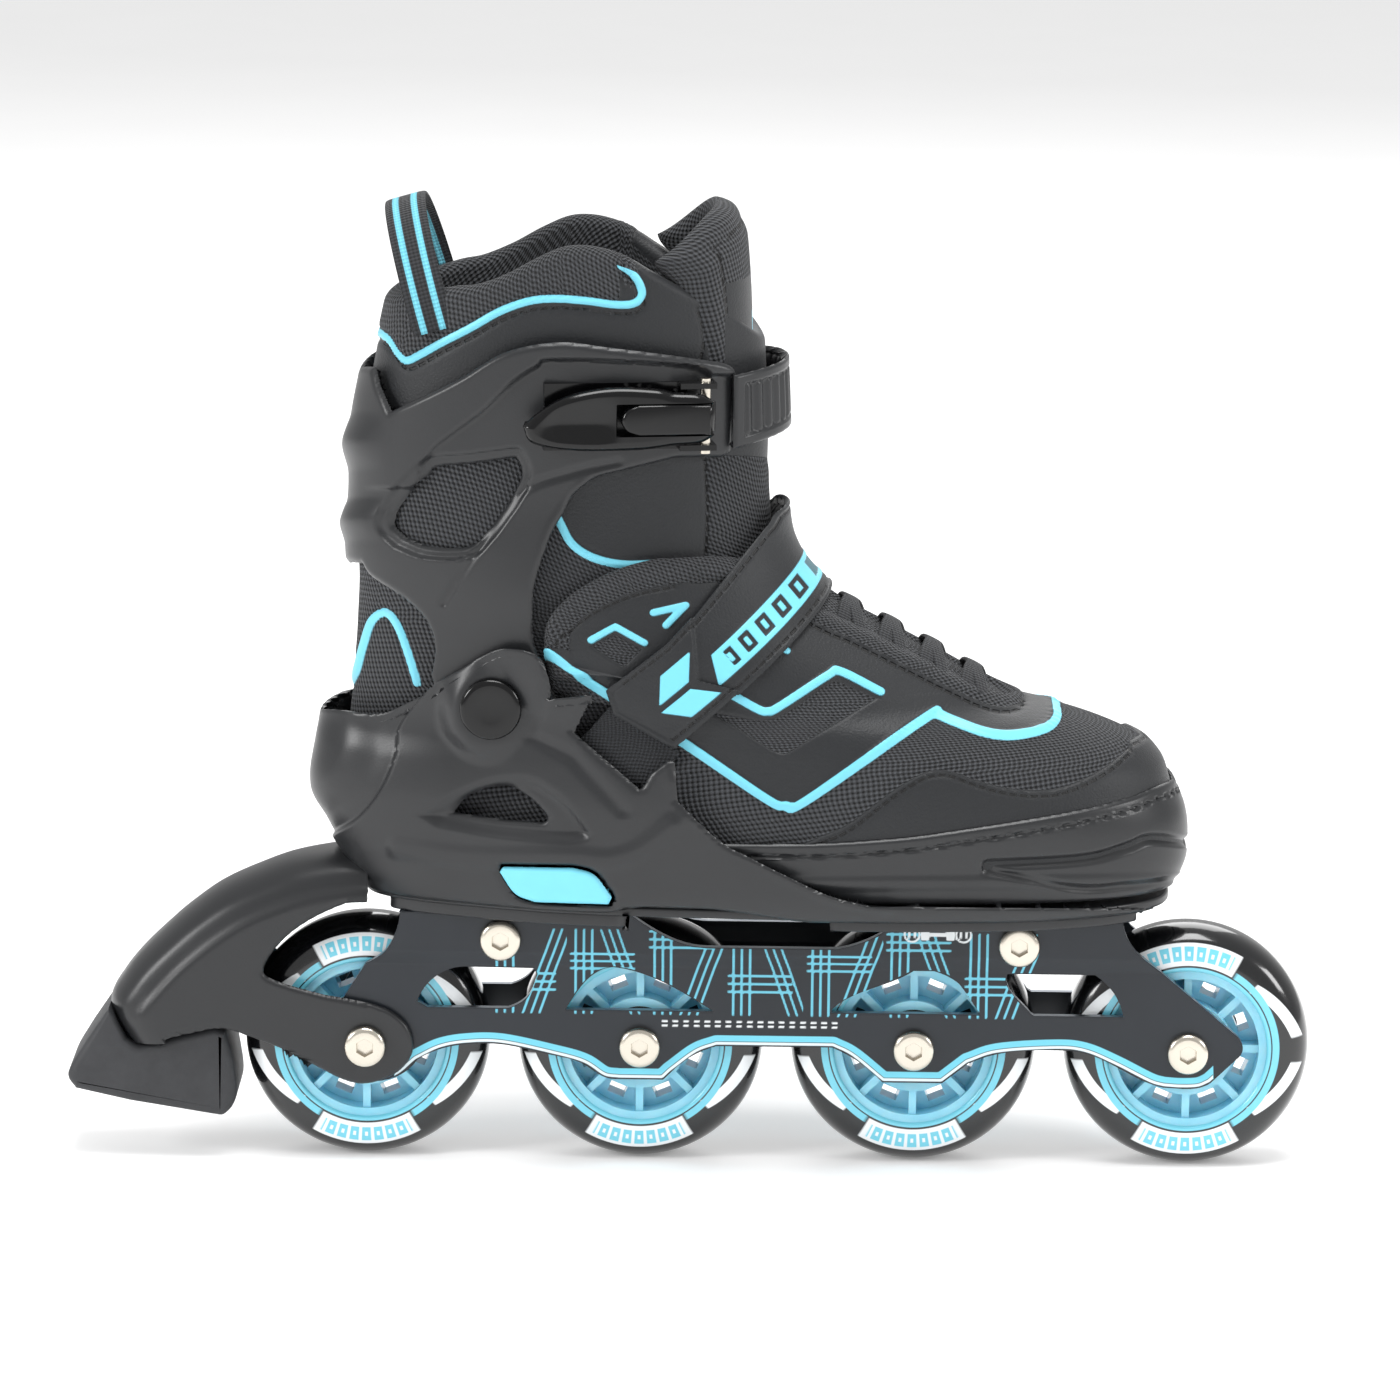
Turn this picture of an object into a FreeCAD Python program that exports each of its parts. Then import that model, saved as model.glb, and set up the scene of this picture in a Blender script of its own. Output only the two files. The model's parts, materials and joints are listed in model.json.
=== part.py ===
"""Right-foot adjustable inline skate: soft boot, plastic shell and cuff, plate frame, four wheels, heel brake.

Millimetres.  +X points to the toe, +Z up, -Y to the outer side of the right foot.  The origin lies on the
floor under the middle of the wheelbase, in the plane of the wheels.
"""
import FreeCAD, Part
import functools
import math
import os

V = FreeCAD.Vector
X_AXIS, Y_AXIS, Z_AXIS = V(1, 0, 0), V(0, 1, 0), V(0, 0, 1)

# ---- driving dimensions: wheels and frame
WHEEL_R = 36.0
WHEEL_HALF_W = 12.0
AXLE_PITCH = 80.0
AXLE_X = [AXLE_PITCH * (i - 1.5) for i in range(4)]
HUB_R = 24.2
BEARING_R, BEARING_BORE, BEARING_W = 11.0, 4.0, 7.0
BALL_PITCH_R, BALL_R, BALL_COUNT = 7.5, 1.75, 7
PLATE_T = 2.5
PLATE_IN_LOW, PLATE_IN_HIGH = 13.5, 15.5
STEP_Z, STEP_H = 60.0, 4.0
PLATE_TOP = 75.9
BOLT_HEAD_R, BOLT_HEAD_H = 6.0, 3.0
BARREL_R, SCREW_R, HEX_R = 3.95, 2.5, 2.3
FRAME_BOLT_X, FRAME_BOLT_Z, FRAME_BOLT_R = (-80.7, 70.2), 68.0, 3.0

# ---- driving dimensions: brake
ARM_T = 3.4
ARM_IN = 16.1
ARM_OUT = ARM_IN + ARM_T
FENDER_R = WHEEL_R + 5.0

# ---- driving dimensions: boot, all offsets measured from the liner's surface
PIVOT_X, PIVOT_Z = -83.0, 141.0
PIVOT_PIN_R, CAP_R = 5.0, 8.85
PIN_IN_Y, CAP_Y = 30.0, 39.6
LINER_IN, HEEL_LINER_OUT = -7.0, -3.0
UPPER_IN, UPPER_OUT = 0.8, 3.5
CUFF_IN, CUFF_OUT = 0.5, 3.5
TOE_CAP_IN, TOE_CAP_OUT = 3.8, 6.3
SHELL_OUT, SHELL_IN_LOW, SHELL_IN_HIGH = 7.8, 0.8, 5.0
FLARE_OUT, FLARE_IN_LOW = 2.2, 6.2
FLARE_FROM, FLARE_TO = -95.0, -62.0
SHELL_STEP_Z = 118.0
STRAP_IN, STRAP_OUT = 4.2, 6.4
LADDER_IN, LADDER_OUT = 4.0, 6.5
FLOOR_Z, BASE_Z, BOSS_Z = 83.5, 80.0, 76.0
PLATE_SLIDE_T = 2.0
LINER_FLOOR_Z = 89.5
HEEL_LINER_TOP_R, COLLAR_LOW_R = 43.0, 50.0
TONGUE_OUT = -3.0
TONGUE_FOOT_Z = 209.0
SPRING_Y = -33.4
STRAP_TOP_Z = 196.4
LOOP_HALF, LOOP_TOP, LOOP_T, LOOP_W = 31.0, 36.0, 1.6, 12.0

# boot sections from the sole up:
# height, heel x, front x, half width, squareness, widening to the front, lift and push of the front by an offset
SECTIONS = [
    (74.0, -108, 99, 24, 2.5, 0.15, 0.0, 1.0),
    (80.0, -113.5, 107, 30, 2.5, 0.15, 0.0, 1.0),
    (86.0, -117.5, 110, 33.5, 2.5, 0.15, 0.0, 1.0),
    (92.0, -121, 112.5, 35.5, 2.5, 0.15, 0.0, 1.0),
    (99.0, -125, 113, 36.8, 2.5, 0.15, 0.0, 1.0),
    (107.0, -128.6, 112, 37.5, 2.5, 0.15, 0.0, 1.0),
    (113.5, -129.4, 109.1, 37.5, 2.5, 0.14, 0.1, 1.0),
    (120.0, -127.9, 106.5, 37, 2.4, 0.13, 0.5, 0.85),
    (125.5, -126.6, 100, 36.5, 2.2, 0.12, 0.75, 0.65),
    (130.0, -126, 88, 36, 2.1, 0.1, 0.95, 0.35),
    (134.6, -125.6, 70, 36, 2.0, 0.05, 0.93, 0.4),
    (140.0, -125, 60, 36, 2.0, 0.0, 0.88, 0.5),
    (147.0, -124.6, 47.8, 36, 2.0, 0.0, 0.88, 0.5),
    (154.0, -124, 34, 36, 2.0, 0.0, 0.88, 0.5),
    (162.0, -123.6, 18.5, 35.5, 2.0, 0.0, 0.85, 0.5),
    (172.0, -123.2, 5.5, 35.2, 2.1, -0.02, 0.5, 0.85),
    (184.0, -123.6, -2, 34.6, 2.2, -0.04, 0.1, 1.0),
    (198.0, -122.6, -4.2, 34, 2.3, -0.05, 0.0, 1.0),
    (215.0, -122.4, -4.2, 34.4, 2.3, -0.05, 0.0, 1.0),
    (235.0, -119, -5, 35.4, 2.3, -0.05, 0.0, 1.0),
    (255.0, -115, -6.5, 36, 2.3, -0.05, 0.0, 1.0),
    (280.0, -108, -13.5, 35, 2.3, -0.05, 0.0, 1.0),
]
SIDE_POINTS = 9


# ---- small helpers
def smooth_step(value, low, high):
    t = min(max((value - low) / (high - low), 0.0), 1.0)
    return t * t * (3.0 - 2.0 * t)


@functools.lru_cache(maxsize=None)
def boot_form(offset, flare=0.0):
    """Solid inside the boot's surface moved out by offset, plus flare towards the front wings."""
    wires = []
    for z, heel, front, half, square, widen, lift, push in SECTIONS:
        x_back = heel - offset
        x_front = front + offset * push
        middle, reach = 0.5 * (x_back + x_front), 0.5 * (x_front - x_back)
        side = []
        for i in range(1, SIDE_POINTS):
            s = -math.cos(math.pi * i / SIDE_POINTS)
            x = middle + reach * s
            extra = offset + flare * smooth_step(x, FLARE_FROM, FLARE_TO)
            width = (half * (1.0 + widen * s) + extra) * (1.0 - abs(s) ** square) ** (1.0 / square)
            side.append((x, width))
        height = z + offset * lift
        points = [V(x_back, 0, height)]
        points += [V(x, -y, height) for x, y in side]
        points.append(V(x_front, 0, height))
        points += [V(x, y, height) for x, y in reversed(side)]
        curve = Part.BSplineCurve()
        curve.interpolate(Points=points, PeriodicFlag=True)
        wires.append(Part.Wire([curve.toShape()]))
    return Part.makeLoft(wires, True, False)


def outline(*runs):
    """Closed wire in the XZ plane.  Each run starts where the last one ended: one point is a straight edge,
    more points are a smooth curve."""
    edges = []
    last = runs[-1][-1]
    for run in runs:
        points = [V(last[0], 0, last[1])] + [V(x, 0, z) for x, z in run]
        if len(points) == 2:
            edges.append(Part.makeLine(*points))
        else:
            curve = Part.BSplineCurve()
            curve.interpolate(points)
            edges.append(curve.toShape())
        last = run[-1]
    return Part.Wire(edges)


def prism(wire, y0=-70.0, y1=70.0):
    """Solid of an XZ outline between two heights of Y."""
    face = Part.Face(wire)
    face.translate(V(0, y0, 0))
    return face.extrude(V(0, y1 - y0, 0))


def block(x0, x1, y0, y1, z0, z1):
    return Part.makeBox(x1 - x0, y1 - y0, z1 - z0, V(x0, y0, z0))


def rod(r, y0, y1, x, z):
    """Cylinder along Y."""
    return Part.makeCylinder(r, y1 - y0, V(x, y0, z), Y_AXIS)


def lathe(profile, x, z):
    """Solid of revolution about the line along Y through (x, z); the profile is (radius, y) points."""
    points = [V(r, y, 0) for r, y in profile]
    face = Part.Face(Part.makePolygon(points + [points[0]]))
    solid = face.revolve(V(0, 0, 0), Y_AXIS, 360)
    solid.translate(V(x, 0, z))
    return solid


def ring(r_in, r_out, y0, y1, x, z):
    return lathe([(r_in, y0), (r_out, y0), (r_out, y1), (r_in, y1)], x, z)


def hexagon(radius, y0, y1, x, z):
    corners = [(x + radius * math.cos(math.pi * k / 3), z + radius * math.sin(math.pi * k / 3)) for k in range(6)]
    return prism(outline(*[[c] for c in corners]), y0, y1)


def join(shapes):
    return shapes[0].multiFuse(shapes[1:]) if len(shapes) > 1 else shapes[0]


def save(name, *solids):
    shape = solids[0] if len(solids) == 1 else Part.makeCompound(list(solids))
    if shape.ShapeType == "Compound" and len(shape.Solids) == 1:
        shape = shape.Solids[0]
    shape.exportStep("parts/%s.step" % name)
    print("%-24s solids %d  volume %.0f mm3  valid %s" % (
        name, len(shape.Solids), shape.Volume, shape.isValid()))


# ---- wheels
def make_wheels():
    crown = [(HUB_R, -11.0), (27.0, -WHEEL_HALF_W), (30.0, -WHEEL_HALF_W)]
    steps = 8
    for i in range(1, 2 * steps):
        angle = math.pi * (i / (2.0 * steps) - 0.5)
        crown.append((30.0 + 6.0 * math.cos(angle), WHEEL_HALF_W * math.sin(angle)))
    crown += [(30.0, WHEEL_HALF_W), (27.0, WHEEL_HALF_W), (HUB_R, 11.0)]
    inner, washers = [], []
    spacers = []
    for number, x in enumerate(AXLE_X, 1):
        z = WHEEL_R
        save("tyre_%d" % number, lathe(crown, x, z))
        save("hub_%d" % number, make_hub(x, z))
        outer_rings, balls = [], []
        for side in (-1, 1):
            y_in, y_out = sorted((side * (WHEEL_HALF_W - BEARING_W), side * WHEEL_HALF_W))
            shield = 0.4
            race = ring(9.4, BEARING_R, y_in, y_out, x, z)
            shields = [ring(6.0, 9.4, y_in, y_in + shield, x, z), ring(6.0, 9.4, y_out - shield, y_out, x, z)]
            outer_rings.append(join([race] + shields))
            inner.append(ring(BEARING_BORE + 0.02, 5.6, y_in, y_out, x, z))
            for k in range(BALL_COUNT):
                angle = 2.0 * math.pi * k / BALL_COUNT
                centre = V(x + BALL_PITCH_R * math.cos(angle), 0.5 * (y_in + y_out),
                           z + BALL_PITCH_R * math.sin(angle))
                balls.append(Part.makeSphere(BALL_R, centre))
            face_in, face_out = sorted((side * WHEEL_HALF_W, side * PLATE_IN_LOW))
            washers.append(ring(BEARING_BORE + 0.1, 5.6, face_in, face_out, x, z))
        save("bearing_outer_rings_%d" % number, *outer_rings)
        save("bearing_balls_%d" % number, *balls)
        half = WHEEL_HALF_W - BEARING_W
        spacers.append(ring(BEARING_BORE + 0.05, 5.3, -half, half, x, z))
    save("bearing_inner_rings", *inner)
    save("bearing_spacers", *spacers)
    save("axle_washers", *washers)


def make_hub(x, z):
    """Spoked core: an inner sleeve that holds the bearings, a rim under the tyre, a web with slots."""
    half = WHEEL_HALF_W
    sleeve = ring(BEARING_R, 13.6, -half, half, x, z)
    lip = ring(9.6, BEARING_R, -(half - BEARING_W), half - BEARING_W, x, z)
    rim = ring(21.0, HUB_R, -11.0, 11.0, x, z)
    web = ring(13.6, 21.0, -4.0, 4.0, x, z)
    spokes = []
    slots = []
    for k in range(8):
        angle = 45.0 * k
        spoke = block(13.4, 21.2, -10.0, 10.0, -1.1, 1.1)
        slot = block(15.6, 19.0, -6.0, 6.0, -2.6, 2.6)
        for shape, store, turn in ((spoke, spokes, angle), (slot, slots, angle + 22.5)):
            shape.rotate(V(0, 0, 0), Y_AXIS, turn)
            shape.translate(V(x, 0, z))
            store.append(shape)
    return join([sleeve, lip, rim, web] + spokes).cut(Part.makeCompound(slots))


def make_axles():
    bolts, barrels = [], []
    for number, x in enumerate(AXLE_X):
        z = WHEEL_R
        seat = ARM_OUT if number == 0 else PLATE_IN_LOW + PLATE_T
        head = rod(BOLT_HEAD_R, -seat - BOLT_HEAD_H, -seat, x, z)
        shank = rod(SCREW_R, -seat, 9.0, x, z)
        socket = hexagon(HEX_R, -seat - BOLT_HEAD_H - 1.0, -seat - 0.8, x, z)
        bolts.append(head.fuse(shank).cut(socket))
        flange = rod(BOLT_HEAD_R, seat, seat + BOLT_HEAD_H, x, z)
        tube = rod(BARREL_R, -PLATE_IN_LOW - 1.0, seat, x, z)
        bore = rod(SCREW_R + 0.1, -PLATE_IN_LOW - 2.0, 9.5, x, z)
        socket = hexagon(HEX_R, seat + 0.8, seat + BOLT_HEAD_H + 1.0, x, z)
        barrels.append(flange.fuse(tube).cut(bore).cut(socket))
    save("axle_bolts", *bolts)
    save("axle_barrels", *barrels)


# ---- frame
def plate_outline():
    return outline(
        [(100.2, PLATE_TOP)], [(101.0, 72.0), (104.3, 66.4)], [(134.5, 41.0)],
        [(136.0, 37.0), (134.0, 34.0)], [(126.8, 27.0)], [(123.3, 25.5), (118.0, 25.2), (113.0, 25.5)],
        [(108.7, 26.8), (98.4, 32.0), (89.6, 35.6), (81.0, 36.3), (64.7, 35.0), (56.0, 32.0)],
        [(48.5, 26.0)], [(31.0, 26.0)], [(22.0, 33.4), (16.3, 36.3)], [(-17.5, 36.3)],
        [(-23.3, 34.0), (-30.7, 28.3)], [(-33.0, 26.0)], [(-46.0, 26.0)],
        [(-50.5, 26.7), (-56.5, 30.5), (-65.5, 33.0), (-80.0, 36.0), (-90.0, 36.0), (-98.0, 34.5),
         (-105.0, 31.0)],
        [(-112.0, 25.5), (-122.0, 25.0), (-130.0, 31.0), (-131.5, 38.0), (-128.0, 47.0)],
        [(-120.0, 60.0)], [(-113.6, 65.0), (-111.0, 70.3), (-110.0, PLATE_TOP)], [(-43.0, PLATE_TOP)],
        [(-38.0, 72.5), (-27.7, 67.5), (-20.4, 66.4)], [(17.7, 66.4)], [(28.0, 70.0), (36.0, PLATE_TOP)])


def plate_windows():
    return [
        outline([(-102.0, 47.0)], [(-78.5, 47.0)], [(-73.3, 50.0), (-70.2, 57.3)], [(-71.0, 59.0)],
                [(-90.0, 59.2)], [(-96.7, 58.0), (-102.0, 54.0), (-105.0, 48.8)]),
        outline([(-61.6, 46.8)], [(-18.6, 46.8)], [(-30.7, 54.0), (-41.0, 58.3), (-47.5, 59.6)],
                [(-52.5, 58.2), (-57.0, 54.0), (-61.0, 48.0)]),
        outline([(15.8, 46.8)], [(59.0, 46.8)], [(51.5, 57.0), (45.6, 59.6)], [(39.7, 59.6)],
                [(31.0, 55.4), (19.2, 50.3), (16.2, 48.0)]),
        outline([(75.0, 46.6)], [(101.0, 46.6)], [(98.4, 53.2), (92.5, 59.0)], [(67.0, 59.0)],
                [(67.0, 56.0), (70.5, 51.0), (74.0, 47.2)]),
    ]


def make_frame():
    low, high, t = PLATE_IN_LOW, PLATE_IN_HIGH, PLATE_T
    profile = [(low, 20.0), (low + t, 20.0), (low + t, STEP_Z), (high + t, STEP_Z + STEP_H),
               (high + t, 90.0), (high, 90.0), (high, STEP_Z + STEP_H + 0.8), (low, STEP_Z + 0.8)]
    cutter = prism(plate_outline())
    holes = [prism(w) for w in plate_windows()]
    holes += [rod(BARREL_R + 0.05, -70, 70, x, WHEEL_R) for x in AXLE_X]
    holes += [rod(FRAME_BOLT_R + 0.05, -70, 70, x, FRAME_BOLT_Z) for x in FRAME_BOLT_X]
    for side, name in ((-1, "frame_plate_outer"), (1, "frame_plate_inner")):
        points = [V(-140.0, side * y, z) for y, z in profile]
        sheet = Part.Face(Part.makePolygon(points + [points[0]])).extrude(V(280.0, 0, 0))
        save(name, sheet.common(cutter).cut(Part.makeCompound(holes)))
    bolts, nuts = [], []
    seat = high + t
    for x in FRAME_BOLT_X:
        head = rod(BOLT_HEAD_R, -seat - BOLT_HEAD_H, -seat, x, FRAME_BOLT_Z)
        socket = hexagon(HEX_R, -seat - BOLT_HEAD_H - 1.0, -seat - 0.8, x, FRAME_BOLT_Z)
        bolts.append(head.fuse(rod(FRAME_BOLT_R, -seat, seat + 5.0, x, FRAME_BOLT_Z)).cut(socket))
        nut = hexagon(5.6, seat, seat + 4.5, x, FRAME_BOLT_Z)
        nuts.append(nut.cut(rod(FRAME_BOLT_R + 0.02, seat - 1, seat + 6, x, FRAME_BOLT_Z)))
    save("frame_bolts", *bolts)
    save("frame_nuts", *nuts)


# ---- heel brake
def make_brake():
    axle_x, axle_z = AXLE_X[0], WHEEL_R
    body = outline(
        [(-123.5, 92.0), (-130.5, 91.4), (-142.0, 89.0), (-152.6, 85.0), (-163.0, 80.0), (-172.0, 73.5),
         (-178.6, 67.7), (-186.4, 60.0), (-191.6, 53.4), (-195.5, 46.0)],
        [(-189.6, 36.5), (-187.0, 34.8)], [(-183.8, 35.0), (-176.0, 37.5), (-164.3, 40.3)],
        [(-159.0, 39.7), (-154.0, 38.0), (-143.5, 34.0), (-134.4, 29.3), (-126.6, 25.4), (-120.0, 24.2),
         (-112.3, 26.7), (-107.6, 31.0), (-106.0, 36.0), (-107.7, 41.7), (-112.3, 46.0), (-118.0, 48.3)],
        [(-124.0, 49.5), (-132.0, 50.8)], [(-142.0, 53.4)],
        [(-148.7, 56.0), (-149.6, 58.6), (-147.4, 63.0), (-142.0, 69.0), (-134.4, 74.2), (-125.3, 78.4),
         (-119.0, 80.5)], [(-121.5, 86.0)])
    housing = prism(body, -ARM_OUT, ARM_OUT)
    wheel_room = rod(FENDER_R, -ARM_IN, ARM_IN, axle_x, axle_z)
    pin_hole = rod(BARREL_R + 0.05, -30, 30, axle_x, axle_z)
    seat = V(-186.5, 0, 53.0)
    down = V(-0.35, 0, -1.0).normalize()
    screw_hole = Part.makeCylinder(2.05, 30.0, seat, down)
    head_room = Part.makeCylinder(3.9, 20.0, seat, -down)
    heel = boot_form(SHELL_OUT + 0.1, FLARE_OUT)
    housing = housing.cut(wheel_room).cut(pin_hole).cut(screw_hole).cut(head_room).cut(heel)
    pad_half = 16.0
    pad = prism(outline(
        [(-195.8, 45.6)], [(-202.0, 35.0)], [(-206.5, 27.4), (-207.2, 24.0), (-205.0, 20.8)],
        [(-189.0, 17.3)], [(-164.3, 13.4)], [(-161.7, 13.4), (-159.0, 16.3), (-157.8, 21.0), (-159.0, 30.0),
                                              (-161.0, 38.9)],
        [(-164.3, 40.0)], [(-176.0, 37.2), (-183.8, 34.7), (-187.0, 34.5), (-189.9, 36.2)]),
        -pad_half, pad_half)
    pad = pad.cut(prism(body, -ARM_OUT, ARM_OUT)).cut(Part.makeCylinder(2.05, 31.0, seat, down))
    shank = Part.makeCylinder(2.0, 29.0, seat, down)
    head = Part.makeCylinder(3.6, 2.4, seat, -down)
    save("brake_housing", housing)
    save("brake_pad", pad)
    save("brake_pad_screw", shank.fuse(head))


# ---- boot shell and toe
def shell_outline():
    return outline(
        [(-113.0, BOSS_Z)], [(-160.0, BOSS_Z)], [(-160.0, 134.5)], [(-129.0, 135.0)],
        [(-119.4, 137.0), (-107.7, 143.0), (-96.0, 150.2), (-84.2, 158.2), (-78.0, 159.6), (-70.3, 157.5),
         (-67.2, 152.0), (-66.6, 145.2)],
        [(-54.8, 146.5)], [(-59.5, 135.8)], [(-39.9, 118.2)], [(-37.3, 123.3)], [(-32.5, 127.4)],
        [(-30.3, 127.0)], [(-29.6, 113.6)],
        [(-17.0, 104.5), (-8.5, 99.8), (2.2, 94.2), (15.0, 88.6), (27.0, FLOOR_Z)],
        [(140.0, FLOOR_Z)], [(140.0, BOSS_Z)])


def vent_outline():
    return outline([(-91.7, 115.3), (-85.3, 118.3), (-80.0, 119.4)], [(-76.7, 118.0), (-71.4, 113.7), (-67.7, 109.3)],
                   [(-68.7, 107.7)], [(-81.0, 108.4), (-96.0, 110.4)])


def button_outline(grow=0.0):
    g = grow
    return outline([(-79.5 - g, 95.0 + g)], [(-59.0, 95.0 + g)], [(-53.0, 93.0 + g), (-48.0 + g, 86.5)],
                   [(-49.0 + g, 84.3 - g)], [(-70.3, 84.6 - g)], [(-76.0 - g, 87.0 - g), (-80.5 - g, 93.5)])


def make_shell():
    outer = boot_form(SHELL_OUT, FLARE_OUT)
    room_low = boot_form(SHELL_IN_LOW, FLARE_IN_LOW)
    room_high = boot_form(SHELL_IN_HIGH, FLARE_OUT)
    low_room = room_low.common(block(-170, 170, -70, 70, FLOOR_Z, SHELL_STEP_Z + 0.01))
    high_room = room_high.common(block(-170, 170, -70, 70, SHELL_STEP_Z, 200))
    tub = outer.common(prism(shell_outline())).cut(low_room).cut(high_room)
    under_middle = block(-44, 15, -70, 70, 60, BASE_Z)
    tub = tub.cut(under_middle)
    keels = []
    for (x0, x1), bolt_x in zip(((-93.5, -68.0), (63.5, 93.0)), FRAME_BOLT_X):
        half = PLATE_IN_HIGH - 0.1
        keel = block(x0, x1, -half, half, STEP_Z + STEP_H + 1.2, BOSS_Z + 1.0)
        keels.append(keel.cut(rod(FRAME_BOLT_R + 0.05, -30, 30, bolt_x, FRAME_BOLT_Z)))
    shell = join([tub] + keels)
    shell = shell.cut(prism(vent_outline()))
    shell = shell.cut(prism(button_outline(0.3), -70.0, -20.0))
    pins, caps = [], []
    for side in (-1, 1):
        boss_y = sorted((side * (CAP_Y - 3.0), side * CAP_Y))
        shell = shell.fuse(rod(CAP_R + 1.6, boss_y[0], boss_y[1], PIVOT_X, PIVOT_Z))
        room_y = sorted((side * CAP_Y, side * 60.0))
        shell = shell.cut(rod(CAP_R + 0.2, room_y[0], room_y[1], PIVOT_X, PIVOT_Z))
        y_in, y_out = sorted((side * PIN_IN_Y, side * CAP_Y))
        pins.append(rod(PIVOT_PIN_R, y_in, y_out, PIVOT_X, PIVOT_Z))
        y_back, y_top = side * CAP_Y, side * (CAP_Y + 2.6)
        low, high = sorted((y_back, y_top))
        cap = rod(CAP_R, low, high, PIVOT_X, PIVOT_Z)
        edge = [e for e in cap.Edges if abs(e.BoundBox.YMin - y_top) < 0.01 and abs(e.BoundBox.YMax - y_top) < 0.01]
        caps.append(cap.makeFillet(1.6, edge))
    save("shell", shell.cut(rod(PIVOT_PIN_R + 0.05, -70, 70, PIVOT_X, PIVOT_Z)))
    save("pivot_pins", *pins)
    save("pivot_caps", *caps)


def toe_upper_edge():
    """Side outline of the toe part's fabric: behind the wings it stops short, above them it runs back."""
    return outline(
        [(-47.5, 93.0)], [(-47.5, 148.5)], [(-64.5, 150.5)], [(-64.5, 165.0)],
        [(-58.5, 173.5), (-49.0, 179.5), (-36.0, 182.0), (-22.0, 182.0)], [(-4.0, 176.0)], [(12.0, 168.0)],
        [(60.0, 168.0)], [(140.0, 168.0)], [(140.0, 93.0)])


def make_toe():
    upper = boot_form(UPPER_OUT).cut(boot_form(UPPER_IN))
    upper = upper.common(prism(toe_upper_edge()))
    save("toe_upper", upper)

    rear = -28.0
    cap_top = outline([(rear, 84.2)], [(rear, 101.5)], [(13.3, 102.5), (54.2, 106.5), (89.2, 112.3),
                                                        (102.0, 115.0), (122.0, 119.0)],
                      [(130.0, 119.0)], [(130.0, 84.2)])
    cap = boot_form(TOE_CAP_OUT)
    wall = cap.cut(boot_form(TOE_CAP_IN))
    floor = cap.common(block(rear, 130, -60, 60, FLOOR_Z + 0.5 + PLATE_SLIDE_T, FLOOR_Z + 4.5))
    save("toe_cap", wall.common(prism(cap_top)).fuse(floor))
    plate = block(-78.0, 84.0, -20.0, 20.0, FLOOR_Z + 0.5, FLOOR_Z + 0.5 + PLATE_SLIDE_T)
    for k in range(4):
        x = -72.0 + 20.0 / 3.0 * k
        plate = plate.cut(block(x - 1.5, x + 1.5, -21.0, -14.0, 80, 90))
    save("toe_slide_plate", plate)


def make_button():
    body = boot_form(SHELL_OUT + 1.2, FLARE_OUT).cut(boot_form(4.0, FLARE_OUT))
    face = body.common(prism(button_outline(), -70.0, -20.0))
    stem_x, stem_z = -64.0, 86.8
    stem = rod(1.4, -40.0, -24.0, stem_x, stem_z)
    save("size_button", face.fuse(stem))
    turns, pitch, radius, wire = 5, 1.8, 2.0, 0.35
    helix = Part.makeHelix(pitch, pitch * turns, radius)
    section = Part.Wire([Part.makeCircle(wire, V(radius, 0, 0), V(0, 1, 0))])
    coil = Part.Wire(helix).makePipeShell([section], True, True)
    coil.rotate(V(0, 0, 0), X_AXIS, -90)
    coil.translate(V(stem_x, SPRING_Y, stem_z))
    save("button_spring", coil)


# ---- liner and cuff
def make_liner():
    hollow = boot_form(HEEL_LINER_OUT).cut(boot_form(LINER_IN))
    region = rod(HEEL_LINER_TOP_R, -70, 70, PIVOT_X, PIVOT_Z)
    low_part = block(-170, 30, -70, 70, LINER_FLOOR_Z, PIVOT_Z)
    room = region.fuse(low_part)
    room = room.cut(block(-170, 170, -70, 70, 60, LINER_FLOOR_Z))
    floor = boot_form(HEEL_LINER_OUT).common(
        block(-170, 30, -70, 70, LINER_FLOOR_Z, LINER_FLOOR_Z + 2.5))
    save("heel_liner", hollow.common(room).fuse(floor))
    insole = boot_form(LINER_IN - 0.6).common(
        block(-170, 96, -70, 70, LINER_FLOOR_Z + 2.6, LINER_FLOOR_Z + 6.0))
    save("insole", insole)

    collar = boot_form(0.0).cut(boot_form(LINER_IN + 1.0))
    top = outline(
        [(-140.0, 150.0)], [(-140.0, 239.0)], [(-118.7, 245.5)],
        [(-115.0, 252.5), (-108.0, 257.0), (-97.0, 259.5), (-89.5, 261.0), (-81.0, 264.5), (-72.5, 269.5),
         (-64.0, 273.0), (-56.5, 273.4), (-49.0, 272.3), (-36.0, 266.0), (-19.0, 255.4), (-12.7, 248.0),
         (-10.5, 241.0)],
        [(-12.5, 232.0)], [(-30.0, 226.0)], [(-30.0, 193.0)], [(-62.0, 193.0)], [(-62.0, 150.0)])
    collar = collar.common(prism(top)).cut(rod(COLLAR_LOW_R, -70, 70, PIVOT_X, PIVOT_Z))
    save("ankle_collar", collar)
    make_pull_loop(collar)

    tongue = boot_form(TONGUE_OUT).cut(boot_form(TONGUE_OUT - 7.0))
    tongue_side = outline(
        [(-16.0, TONGUE_FOOT_Z)], [(10.0, TONGUE_FOOT_Z)], [(10.0, 279.0)], [(-14.0, 279.0)],
        [(-22.0, 277.0), (-34.0, 267.0), (-36.0, 262.0)], [(-27.0, 255.4), (-19.5, 246.0), (-18.0, 241.0)],
        [(-17.0, 231.0)])
    save("tongue", tongue.common(prism(tongue_side)).cut(collar))


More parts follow.
